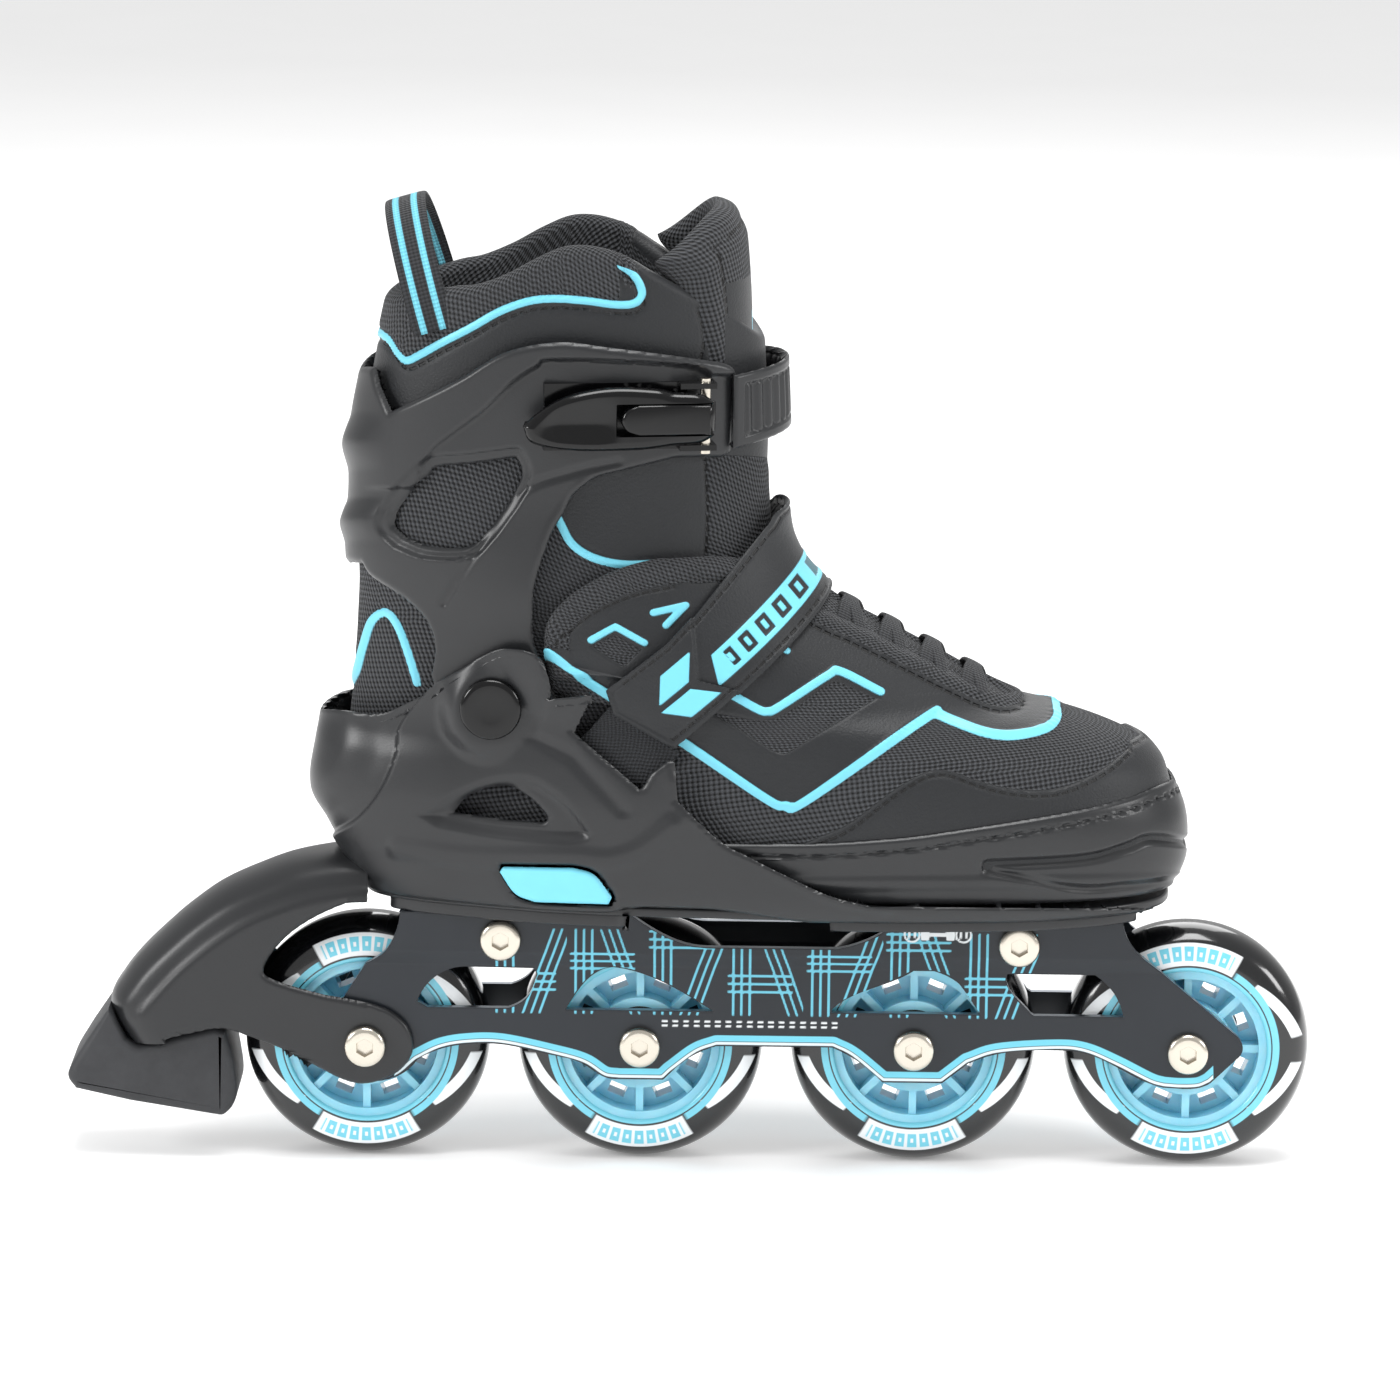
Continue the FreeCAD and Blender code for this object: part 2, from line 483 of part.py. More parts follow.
def cuff_outline():
    return outline(
        [(-70.0, 150.0)],
        [(-71.2, 162.0), (-71.4, 170.0), (-70.5, 178.0), (-68.7, 184.8), (-66.0, 192.0), (-61.5, 201.0),
         (-53.3, 208.0), (-43.7, 210.6)],
        [(-29.8, 212.6)], [(-17.0, 213.6)], [(-14.5, 216.0)], [(-14.0, 236.0)],
        [(-16.5, 239.6), (-27.7, 242.0), (-49.0, 246.0), (-64.0, 247.4), (-79.0, 244.3), (-91.7, 236.0),
         (-102.3, 229.8), (-112.0, 225.0)],
        [(-116.2, 231.5)], [(-118.0, 234.5)], [(-140.0, 234.5)], [(-140.0, 176.0)], [(-121.0, 177.5)],
        [(-113.0, 173.5), (-107.7, 170.2), (-102.3, 164.5), (-100.2, 158.0), (-101.0, 150.0)])


def cuff_window():
    return outline(
        [(-106.0, 205.5), (-99.5, 209.6), (-89.5, 211.0), (-77.0, 213.4)],
        [(-75.2, 211.0), (-77.3, 203.5), (-85.3, 192.3), (-90.6, 188.0), (-98.0, 187.0), (-107.0, 187.8)],
        [(-111.5, 190.0), (-112.0, 196.0), (-109.8, 201.0)])


def make_cuff():
    ring_wall = boot_form(CUFF_OUT).cut(boot_form(CUFF_IN))
    lug = rod(18.5, -70, 70, PIVOT_X, PIVOT_Z)
    neck = prism(outline([(-101.0, 150.5)], [(-70.0, 150.5)], [(-66.0, 142.0)], [(-100.0, 138.0)]))
    region = prism(cuff_outline()).fuse(lug).fuse(neck)
    cuff = ring_wall.common(region)
    cuff = cuff.cut(prism(cuff_window())).cut(rod(PIVOT_PIN_R + 0.1, -70, 70, PIVOT_X, PIVOT_Z))
    return cuff


BUCKLE_X, BUCKLE_Y, BUCKLE_Z = -22.5, -35.5, 226.0
BUCKLE_TURN = 9.5
BUCKLE_HALF = 9.6
PIN_R = 1.5


def place_buckle(shape):
    """From the buckle's own frame (x forward along the strap, -y outward) to the cuff's side."""
    shape.rotate(V(0, 0, 0), Z_AXIS, BUCKLE_TURN)
    shape.translate(V(BUCKLE_X, BUCKLE_Y, BUCKLE_Z))
    return shape


def make_buckle(cuff):
    half = BUCKLE_HALF
    pad = place_buckle(block(-46.0, -5.0, 1.4, 12.0, -half, half))
    ears = [place_buckle(block(-7.5, 3.0, -2.6, 12.0, z0, z0 + 1.6)) for z0 in (-half - 0.1, half - 1.5)]
    base = join([pad] + ears).cut(boot_form(CUFF_OUT))
    pin_hole = place_buckle(Part.makeCylinder(PIN_R + 0.02, 40.0, V(0, 0, -20.0), Z_AXIS))
    rivets = []
    for x in (-17.5, -36.0):
        rivets.append(place_buckle(Part.makeCylinder(1.8, 14.0, V(x, 1.0, 0), Y_AXIS)))
    rivet_stop = boot_form(CUFF_IN + 0.05)
    rivets = [r.cut(rivet_stop) for r in rivets]
    holes = Part.makeCompound([r.copy() for r in rivets])
    base = base.cut(pin_hole).cut(holes)
    cuff = cuff.cut(holes)
    save("buckle_base", base)
    save("buckle_rivets", *rivets)
    save("buckle_pin", place_buckle(Part.makeCylinder(PIN_R, 2 * half + 2.4, V(0, 0, -half - 1.2), Z_AXIS)))

    leaf = outline(
        [(3.2, 4.0)],
        [(-2.0, 7.0), (-10.0, 7.7), (-15.0, 8.8), (-28.0, 9.4), (-40.0, 7.2), (-49.0, 2.2), (-53.0, -1.5)],
        [(-50.0, -6.4), (-38.0, -8.7), (-20.0, -8.8), (-10.0, -7.7), (-2.0, -7.0), (3.2, -4.0)])
    lever = prism(leaf, -7.0, 0.6)
    lever = lever.cut(block(-60, -4.0, -1.4, 2, -12, 12))
    barrel = Part.makeCylinder(3.0, 2 * half - 3.4, V(0, 0, -half + 1.7), Z_AXIS)
    lever = lever.fuse(barrel)
    trigger_room = block(-26.5, 6.0, -12.0, 6.0, -4.7, 4.7)
    lever = lever.cut(trigger_room)
    lever = lever.cut(Part.makeCylinder(PIN_R + 0.05, 40.0, V(0, 0, -20.0), Z_AXIS))
    save("buckle_lever", place_buckle(lever))
    tab = prism(outline([(0.5, -4.4)], [(0.5, 4.4)], [(-20.0, 4.4)], [(-23.5, 3.0), (-25.0, 0.0), (-23.5, -3.0),
                                                                     (-20.0, -4.4)]), -7.6, -4.6)
    hub = Part.makeCylinder(2.9, 8.8, V(0, 0, -4.4), Z_AXIS)
    neck = block(-2.6, 0.5, -5.0, 0.0, -4.4, 4.4)
    trigger = join([tab, hub, neck]).cut(Part.makeCylinder(PIN_R + 0.05, 40.0, V(0, 0, -20.0), Z_AXIS))
    save("release_trigger", place_buckle(trigger))
    return cuff


def make_straps(cuff):
    ladder = boot_form(LADDER_OUT).cut(boot_form(LADDER_IN))
    near = prism(outline([(-14.0, 215.2)], [(10.0, 219.5)], [(10.0, 239.5)], [(-14.0, 236.6)]), -70.0, 0.0)
    far = prism(outline([(-52.0, 214.4)], [(-18.0, 214.4)], [(10.0, 219.5)], [(10.0, 239.5)], [(-18.0, 236.0)],
                        [(-52.0, 236.0)]), 0.0, 70.0)
    strap = ladder.common(near.fuse(far))
    rivet = rod(2.2, 20.0, 46.0, -46.0, 225.0).cut(boot_form(CUFF_IN + 0.05))
    head_stop = boot_form(LADDER_OUT + 0.8)
    rivet = rivet.common(head_stop)
    save("ladder_strap", strap.cut(rivet))
    save("ladder_rivet", rivet)
    cuff = cuff.cut(rivet)

    band = boot_form(STRAP_OUT).cut(boot_form(STRAP_IN))
    side = prism(outline([(-46.9, 146.3)], [(-29.2, 129.6)], [(14.0, 170.5)], [(54.0, STRAP_TOP_Z)],
                         [(-3.5, STRAP_TOP_Z)]))
    save("instep_strap", band.common(side))
    tape = boot_form(STRAP_OUT - 0.8).cut(boot_form(STRAP_IN))
    side = prism(outline([(-58.0, 133.0)], [(-41.0, 117.5)], [(-29.2, 129.5)], [(-47.0, 146.2)]))
    save("strap_webbing", tape.common(side))
    save("cuff", cuff)


def make_pull_loop(collar):
    """Webbing bent over the back of the collar: half an ellipse from side to side, leaning back."""
    def arch(half, top):
        turns = [math.pi * k / 10 for k in range(11)]
        curve = Part.BSplineCurve()
        curve.interpolate([V(0, half * math.cos(a), top * math.sin(a)) for a in turns])
        return curve.toShape()
    half, top, thick = LOOP_HALF, LOOP_TOP, LOOP_T
    ends = [Part.makeLine(V(0, side * half, 0), V(0, side * (half - thick), 0)) for side in (-1, 1)]
    wire = Part.Wire(Part.__sortEdges__([arch(half, top), arch(half - thick, top - thick)] + ends))
    loop = Part.Face(wire).extrude(V(LOOP_W, 0, 0))
    loop.rotate(V(0, 0, 0), Y_AXIS, -16.0)
    loop.translate(V(-106.0, 0, 248.0))
    pieces = loop.cut(collar).Solids
    save("pull_loop", max(pieces, key=lambda solid: solid.Volume))


def make_laces():
    bars = []
    for x, z in ((20.0, 165.5), (32.0, 159.4), (44.0, 153.2), (56.0, 146.5)):
        bars.append(rod(1.3, -9.0, 9.0, x, z + 1.7))
    save("laces", *bars)


def main():
    os.makedirs("parts", exist_ok=True)
    make_wheels()
    make_axles()
    make_frame()
    make_brake()
    make_shell()
    make_toe()
    make_button()
    make_liner()
    cuff = make_cuff()
    cuff = make_buckle(cuff)
    make_straps(cuff)
    make_laces()


main()
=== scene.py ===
"""Adjustable inline skate, dressed over its CAD frame: shells, soft boot, straps, wheels and print."""
import json
import math

import bmesh
import bpy
import numpy as np
from bpy.props import FloatProperty, FloatVectorProperty, PointerProperty
from mathutils import Matrix, Vector


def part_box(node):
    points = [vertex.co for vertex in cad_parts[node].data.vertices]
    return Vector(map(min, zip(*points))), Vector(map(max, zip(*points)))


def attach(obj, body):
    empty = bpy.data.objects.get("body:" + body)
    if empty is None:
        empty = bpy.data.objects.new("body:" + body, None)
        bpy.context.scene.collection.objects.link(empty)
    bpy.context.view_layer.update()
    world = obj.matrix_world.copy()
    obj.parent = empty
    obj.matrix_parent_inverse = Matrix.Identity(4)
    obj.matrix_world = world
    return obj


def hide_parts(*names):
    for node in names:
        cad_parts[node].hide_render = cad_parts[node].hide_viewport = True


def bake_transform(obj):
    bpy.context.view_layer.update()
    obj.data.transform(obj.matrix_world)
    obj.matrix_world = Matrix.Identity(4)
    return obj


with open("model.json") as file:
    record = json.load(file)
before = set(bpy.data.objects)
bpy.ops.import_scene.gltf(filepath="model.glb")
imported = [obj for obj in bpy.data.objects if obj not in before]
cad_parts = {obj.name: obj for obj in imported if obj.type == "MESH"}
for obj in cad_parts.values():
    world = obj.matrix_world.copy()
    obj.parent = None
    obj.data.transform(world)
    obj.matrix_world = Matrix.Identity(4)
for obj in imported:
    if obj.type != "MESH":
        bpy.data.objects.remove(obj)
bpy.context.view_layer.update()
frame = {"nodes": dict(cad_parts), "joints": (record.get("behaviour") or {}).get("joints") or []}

bl_info = {
    "name": "Inline Skate Looks",
    "version": (1, 0, 0),
    "blender": (4, 5, 0),
    "location": "3D View > Sidebar > Skate",
    "description": "Builds the visible pieces of an adjustable inline skate over its CAD frame",
    "category": "Object",
}

MM = 0.001

# ---- places and sizes read from the frame, in millimetres
JOINTS = {joint["name"]: joint for joint in frame["joints"]}
AXLES = [tuple(1000.0 * c for c in JOINTS["wheel_spin_%d" % n]["pos_m"]) for n in (1, 2, 3, 4)]
PIVOT = tuple(1000.0 * c for c in JOINTS["cuff_lean"]["pos_m"])
BUCKLE_PIN = tuple(1000.0 * c for c in JOINTS["buckle_open"]["pos_m"])


def node_box(name):
    """Lowest and highest corner of a CAD node, in millimetres."""
    low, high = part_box(name)
    return np.array(low) * 1000.0, np.array(high) * 1000.0


WHEEL_R = node_box("tyre_1")[1][2] / 2.0
CAP_FACE = node_box("pivot_caps")[1][1]

# ---- the frame: each plate's inner face below and above its step, the step's heights, and the plate's wall
PLATE_LOW, PLATE_HIGH, STEP_LOW, STEP_HIGH, PLATE_WALL = 13.5, 15.5, 60.0, 64.0, 2.5
BRAKE_ARM = 19.5
FRAME_BOLTS, FRAME_BOLT_Z = (-80.7, 70.2), 68.0
BOLT_HEAD_HEIGHT, BOLT_HEAD_R, BOLT_SOCKET = 3.0, 6.0, 2.3
PRINT_START, PRINT_PITCH, PRINT_MIDDLE_Z, MARK_Z, DASH_Z = -84.0, 23.0, 58.0, 71.0, 43.0

# ---- the boot's form, in millimetres: one row per level from the sole up, with the heel's x, the front's x, the
# half width, the squareness of the plan, its widening to the front, and how far an offset lifts and pushes the front
FORM = np.array([
    (74.0, -108, 99, 24, 2.5, 0.15, 0.0, 1.0), (80.0, -113.5, 107, 30, 2.5, 0.15, 0.0, 1.0),
    (86.0, -117.5, 110, 33.5, 2.5, 0.15, 0.0, 1.0), (92.0, -121, 112.5, 35.5, 2.5, 0.15, 0.0, 1.0),
    (99.0, -125, 113, 36.8, 2.5, 0.15, 0.0, 1.0), (107.0, -128.6, 112, 37.5, 2.5, 0.15, 0.0, 1.0),
    (113.5, -129.4, 109.1, 37.5, 2.5, 0.14, 0.1, 1.0), (120.0, -127.9, 106.5, 37, 2.4, 0.13, 0.5, 0.85),
    (125.5, -126.6, 100, 36.5, 2.2, 0.12, 0.75, 0.65), (130.0, -126, 88, 36, 2.1, 0.1, 0.95, 0.35),
    (134.6, -125.6, 70, 36, 2.0, 0.05, 0.93, 0.4), (140.0, -125, 60, 36, 2.0, 0.0, 0.88, 0.5),
    (147.0, -124.6, 47.8, 36, 2.0, 0.0, 0.88, 0.5), (154.0, -124, 34, 36, 2.0, 0.0, 0.88, 0.5),
    (162.0, -123.6, 18.5, 35.5, 2.0, 0.0, 0.85, 0.5), (172.0, -123.2, 5.5, 35.2, 2.1, -0.02, 0.5, 0.85),
    (184.0, -123.6, -2, 34.6, 2.2, -0.04, 0.1, 1.0), (198.0, -122.6, -4.2, 34, 2.3, -0.05, 0.0, 1.0),
    (215.0, -122.4, -4.2, 34.4, 2.3, -0.05, 0.0, 1.0), (235.0, -119, -5, 35.4, 2.3, -0.05, 0.0, 1.0),
    (255.0, -115, -6.5, 36, 2.3, -0.05, 0.0, 1.0), (280.0, -108, -13.5, 35, 2.3, -0.05, 0.0, 1.0)])
FLARE_FROM, FLARE_TO = -95.0, -62.0

# ---- how far each skin stands out from that form, and how much wider the shell flares along the arch
SHELL_OFFSET, SHELL_FLARE = 7.8, 2.2
CAP_OFFSET, VAMP_OFFSET, CUFF_OFFSET, SOCK_OFFSET, LINING_OFFSET = 6.3, 3.5, 3.5, -0.4, -7.6
LADDER_OFFSET, INSTEP_OFFSET, TAPE_OFFSET = 6.4, 6.0, 5.5


# ---- curves and distances in the side view
def through(x, xs, ys):
    """Smooth curve through the points (xs, ys): a cubic in each span, its slopes those of the spans beside it."""
    x = np.clip(x, xs[0], xs[-1])
    slope = np.gradient(ys, xs)
    k = np.clip(np.searchsorted(xs, x, side="right") - 1, 0, len(xs) - 2)
    span = xs[k + 1] - xs[k]
    u = (x - xs[k]) / span
    return ((1 + 2 * u) * (1 - u) ** 2 * ys[k] + u * (1 - u) ** 2 * span * slope[k]
            + u * u * (3 - 2 * u) * ys[k + 1] + u * u * (u - 1) * span * slope[k + 1])


def step(value, low, high):
    """0 below low, 1 above high, and a smooth S between them."""
    u = np.clip((value - low) / (high - low), 0.0, 1.0)
    return u * u * (3.0 - 2.0 * u)


def spline(points, per_span=8):
    """Points along a smooth curve through the given ones (Catmull-Rom)."""
    p = np.asarray(points, float)
    padded = np.vstack([2 * p[0] - p[1], p, 2 * p[-1] - p[-2]])
    u = np.linspace(0, 1, per_span, endpoint=False)[None, :, None]
    a, b, c, d = (padded[i:len(p) - 1 + i][:, None, :] for i in range(4))
    body = 0.5 * (2 * b + (c - a) * u + (2 * a - 5 * b + 4 * c - d) * u ** 2 + (3 * b - a - 3 * c + d) * u ** 3)
    return np.vstack([body.reshape(-1, p.shape[1]), p[-1:]])


def outline(*runs):
    """Closed outline: each run starts where the last ended; one point is a straight edge, more a smooth curve."""
    last = runs[-1][-1]
    parts = []
    for run in runs:
        points = [last] + list(run)
        parts.append(spline(points)[1:] if len(points) > 2 else np.array(points[1:], float))
        last = run[-1]
    return np.vstack(parts)


def line_distance(x, z, path, closed=False):
    """Distance to a path, signed by the side, and the length along the path of its nearest point."""
    p = np.vstack([path, path[:1]]) if closed else np.asarray(path, float)
    start, along = p[:-1], np.diff(p, axis=0)
    length = np.hypot(along[:, 0], along[:, 1]) + 1e-9
    before = np.concatenate([[0.0], np.cumsum(length)[:-1]])
    shape = x.shape
    x, z = x.ravel(), z.ravel()
    best, place, side = np.full(x.size, 1e9), np.zeros(x.size), np.ones(x.size)
    for s, a, n, b in zip(start, along, length, before):
        dx, dz = x - s[0], z - s[1]
        u = np.clip((dx * a[0] + dz * a[1]) / n ** 2, 0.0, 1.0)
        d = np.hypot(dx - u * a[0], dz - u * a[1])
        near = d < best
        best = np.where(near, d, best)
        place = np.where(near, b + u * n, place)
        side = np.where(near, np.sign(a[0] * dz - a[1] * dx), side)
    side[side == 0] = 1.0
    return (best * side).reshape(shape), place.reshape(shape)


def inside(x, z, loop):
    """Distance to a closed outline, positive inside it."""
    shape = x.shape
    px, pz = x.ravel(), z.ravel()
    nxt = np.roll(loop, -1, axis=0)
    hits = np.zeros(px.size, int)
    for (x0, z0), (x1, z1) in zip(loop, nxt):
        crosses = (z0 > pz) != (z1 > pz)
        if abs(z1 - z0) > 1e-9:
            hits += crosses & (px < (x1 - x0) * (pz - z0) / (z1 - z0) + x0)
    distance, _ = line_distance(x, z, loop, closed=True)
    return np.abs(distance) * np.where(hits % 2 == 1, 1.0, -1.0).reshape(shape)


# ---- the boot's surface
def boot_row(level):
    """The form's seven measures at a level, each a smooth curve through its column."""
    return [through(level, FORM[:, 0], FORM[:, k]) for k in range(1, 8)]


def boot_surface(turn, level, offset=0.0, flare=0.0):
    """Point of the boot's form moved out by offset.  turn runs from 0 at the heel to pi at the front, below zero
    on the outer side: x is the middle minus the reach times its cosine, and the half width falls from the middle
    as (1 - |cos|^n)^(1/n)."""
    heel, front, half, square, widen, lift, push = boot_row(level)
    back, fore = heel - offset, front + offset * push
    middle, reach = 0.5 * (back + fore), 0.5 * (fore - back)
    s = -np.cos(turn)
    x = middle + reach * s
    extra = offset + flare * step(x, FLARE_FROM, FLARE_TO)
    width = (half * (1 + widen * s) + extra) * np.maximum(1 - np.abs(s) ** square, 0.0) ** (1 / square)
    return np.stack([x, np.sign(turn) * width, level + offset * lift], axis=-1)


# ---- meshes
def mesh_object(name, points, faces, fields=None, uv=None, smooth=True):
    """Mesh object from points in millimetres; fields are numbers per point that materials read."""
    mesh = bpy.data.meshes.new(name)
    mesh.from_pydata((np.asarray(points) * MM).tolist(), [], [list(f) for f in faces])
    for key, values in (fields or {}).items():
        layer = mesh.attributes.new(key, "FLOAT", "POINT")
        layer.data.foreach_set("value", np.ascontiguousarray(values, np.float32).ravel())
    if uv is not None:
        corner = np.empty(len(mesh.loops), np.int32)
        mesh.loops.foreach_get("vertex_index", corner)
        layer = mesh.uv_layers.new(name="UVMap")
        layer.data.foreach_set("uv", np.ascontiguousarray(uv, np.float32)[corner].ravel())
    mesh.polygons.foreach_set("use_smooth", np.full(len(mesh.polygons), smooth))
    mesh.validate()
    mesh.update()
    piece = bpy.data.objects.new(name, mesh)
    bpy.context.scene.collection.objects.link(piece)
    return piece


def face_outwards(piece):
    """Makes a closed mesh's faces point out, after its doubles are merged."""
    work = bmesh.new()
    work.from_mesh(piece.data)
    bmesh.ops.remove_doubles(work, verts=work.verts, dist=2e-6)
    bmesh.ops.dissolve_degenerate(work, edges=work.edges, dist=1e-7)
    bmesh.ops.recalc_face_normals(work, faces=work.faces)
    work.to_mesh(piece.data)
    work.free()
    piece.data.polygons.foreach_set("use_smooth", np.ones(len(piece.data.polygons), bool))
    return piece


def grid_faces(rows, columns, wrap_rows=False, wrap_columns=False):
    """Quads of a grid of points stored row by row."""
    i = np.arange(rows if wrap_rows else rows - 1)
    j = np.arange(columns if wrap_columns else columns - 1)
    i, j = (a.ravel() for a in np.meshgrid(i, j, indexing="ij"))
    i2, j2 = (i + 1) % rows, (j + 1) % columns
    return np.stack([i * columns + j, i2 * columns + j, i2 * columns + j2, i * columns + j2], axis=1)


def grid_object(name, points, fields=None, uv=None, wrap_rows=False, wrap_columns=False):
    """Mesh object from a whole grid of points."""
    rows, columns = points.shape[:2]
    flat = {key: value.reshape(-1) for key, value in (fields or {}).items()}
    faces = grid_faces(rows, columns, wrap_rows, wrap_columns)
    return mesh_object(name, points.reshape(-1, 3), faces, flat, None if uv is None else uv.reshape(-1, 2))


def row_lengths(points):
    """Length along each row and each column of a grid, for a pattern that follows the surface."""
    u = np.zeros(points.shape[:2])
    v = np.zeros(points.shape[:2])
    u[:, 1:] = np.cumsum(np.linalg.norm(np.diff(points, axis=1), axis=2), axis=1)
    v[1:, :] = np.cumsum(np.linalg.norm(np.diff(points, axis=0), axis=2), axis=0)
    return np.stack([u - u[:, u.shape[1] // 2][:, None], v], axis=-1)


def grid_normals(points):
    """Unit normals of a grid of points, from the differences along its rows and columns."""
    along = np.gradient(points, axis=1)
    across = np.gradient(points, axis=0)
    normal = np.cross(along, across)
    return normal / (np.linalg.norm(normal, axis=2, keepdims=True) + 1e-12)


def trimmed(name, points, keep, fields=None, uv=None):
    """Grid of points kept where the field keep is above zero.  Cells that its zero line crosses are cut along it,
    with new points where the line meets their edges."""
    rows, columns = points.shape[:2]
    flat = points.reshape(-1, 3)
    keep = keep.reshape(-1)
    extra = {key: value.reshape(-1) for key, value in (fields or {}).items()}
    pattern = None if uv is None else uv.reshape(-1, 2)
    quads = grid_faces(rows, columns)
    count = (keep[quads] > 0).sum(axis=1)
    whole = quads[count == 4]
    cut = quads[(count > 0) & (count < 4)]
    triangles = np.vstack([cut[:, [0, 1, 2]], cut[:, [0, 2, 3]]])
    within = keep[triangles] > 0
    total = within.sum(axis=1)
    full = triangles[total == 3]
    pairs, shapes = [], []
    for wanted in (1, 2):
        chosen, flags = triangles[total == wanted], within[total == wanted]
        odd = np.argmax(flags if wanted == 1 else ~flags, axis=1)
        order = (odd[:, None] + np.arange(3)[None, :]) % 3
        turned = np.take_along_axis(chosen, order, axis=1)
        pairs += [turned[:, [0, 1]], turned[:, [0, 2]]]
        shapes.append(turned)
    edges, where = np.unique(np.sort(np.vstack(pairs), axis=1), axis=0, return_inverse=True)
    where = where.reshape(-1)
    share = np.clip(keep[edges[:, 0]] / (keep[edges[:, 0]] - keep[edges[:, 1]]), 0.06, 0.94)[:, None]

    def blend(values):
        return values[edges[:, 0]] * (1 - share) + values[edges[:, 1]] * share

    base = len(flat)
    one, two = len(shapes[0]), len(shapes[1])
    a = base + where[:one]
    b = base + where[one:2 * one]
    c = base + where[2 * one:2 * one + two]
    d = base + where[2 * one + two:]
    faces = [whole.tolist(), full.tolist(), np.stack([shapes[0][:, 0], a, b], axis=1).tolist(),
             np.stack([c, shapes[1][:, 1], shapes[1][:, 2], d], axis=1).tolist()]
    faces = [face for group in faces for face in group]
    flat = np.vstack([flat, blend(flat)])
    extra = {key: np.concatenate([value, blend(value[:, None])[:, 0]]) for key, value in extra.items()}
    if pattern is not None:
        pattern = np.vstack([pattern, blend(pattern)])
    used, renamed = np.unique(np.concatenate([np.array(f) for f in faces]), return_inverse=True)
    sizes = np.cumsum([len(f) for f in faces])[:-1]
    faces = np.split(renamed, sizes)
    return mesh_object(name, flat[used], [f.tolist() for f in faces],
                       {key: value[used] for key, value in extra.items()},
                       None if pattern is None else pattern[used])


def thicken(piece, wall, split=50.0):
    """Gives a skin its wall, inwards, and keeps the rim's edges crisp."""
    solid = piece.modifiers.new("wall", "SOLIDIFY")
    solid.thickness = wall * MM
    solid.offset = -1.0
    solid.use_rim = True
    solid.use_even_offset = False
    edge = piece.modifiers.new("crisp rim", "EDGE_SPLIT")
    edge.split_angle = math.radians(split)
    return piece


def rounded_edge(distance, radius):
    """How far a surface falls near its edge: a quarter circle of the given radius."""
    u = np.clip(distance / radius, 0.0, 1.0)
    return -radius * (1.0 - np.sqrt(np.clip(1.0 - (1.0 - u) ** 2, 0.0, 1.0)))


# ---- materials
def linear(code):
    """sRGB hex to linear colour."""
    values = [int(code[i:i + 2], 16) / 255.0 for i in (1, 3, 5)]
    return [v / 12.92 if v <= 0.04045 else ((v + 0.055) / 1.055) ** 2.4 for v in values] + [1.0]


# a Mix node that mixes colours keeps them in its sockets 6 and 7 and gives them at output 2
COLOUR_MIX = {"out": 2, "data_type": "RGBA"}


def add(tree, kind, inputs=None, out=0, **settings):
    """Adds one shader node with its settings and its inputs, each a number or another node's output."""
    node = tree.nodes.new("ShaderNode" + kind)
    for key, value in settings.items():
        setattr(node, key, value)
    for key, value in (inputs or {}).items():
        if isinstance(value, bpy.types.NodeSocket):
            tree.links.new(value, node.inputs[key])
        else:
            node.inputs[key].default_value = value
    return node.outputs[out]


def start_material(name, **constants):
    """New material whose even values are set on the shader itself."""
    made = bpy.data.materials.new(name)
    made.use_nodes = True
    shader = made.node_tree.nodes["Principled BSDF"]
    for key, value in constants.items():
        shader.inputs[key.replace("_", " ")].default_value = value
    return made, made.node_tree, shader


def lumps(tree, size_mm, detail=3.0):
    """Irregular variation whose lumps are size_mm wide, fixed to the piece."""
    place = add(tree, "TexCoord", out="Object")
    return add(tree, "TexNoise", {"Vector": place, "Scale": 1000.0 / size_mm, "Detail": detail}, out="Fac")


def finish_surface(tree, shader, colour=None, rough=None, relief=None, depth_mm=0.1, strength=0.6):
    """Joins a colour, a roughness and a relief in millimetres to the shader."""
    if colour is not None:
        tree.links.new(colour, shader.inputs["Base Color"])
    if rough is not None:
        tree.links.new(rough, shader.inputs["Roughness"])
    if relief is not None:
        tilt = add(tree, "Bump", {"Height": relief, "Strength": strength, "Distance": depth_mm * MM})
        tree.links.new(tilt, shader.inputs["Normal"])


def band(tree, value, low, high, soft=0.1):
    """1 where value lies between low and high, 0 elsewhere, with narrow soft edges."""
    rise = add(tree, "MapRange", {"Value": value, "From Min": low - soft, "From Max": low + soft})
    fall = add(tree, "MapRange", {"Value": value, "From Min": high - soft, "From Max": high + soft,
                                  "To Min": 1.0, "To Max": 0.0})
    return add(tree, "Math", {0: rise, 1: fall}, operation="MULTIPLY")


def looped(tree, pitch_u, pitch_v, slant):
    """Crossing rows of loops on the piece's millimetre UV map: the sine of u times the sine of v."""
    parts = add(tree, "TexCoord", out="UV")
    turned = add(tree, "Mapping", {"Vector": parts, "Rotation": (0, 0, slant)})
    across = add(tree, "SeparateXYZ", {0: turned})
    u = add(tree, "Math", {0: across, 1: 2 * math.pi / pitch_u}, operation="MULTIPLY")
    v = add(tree, "Math", {0: across.node.outputs[1], 1: 2 * math.pi / pitch_v}, operation="MULTIPLY")
    su = add(tree, "Math", {0: u}, operation="SINE")
    sv = add(tree, "Math", {0: v}, operation="SINE")
    crossed = add(tree, "Math", {0: su, 1: sv}, operation="MULTIPLY")
    return add(tree, "MapRange", {"Value": crossed, "From Min": -0.8, "From Max": 0.8})


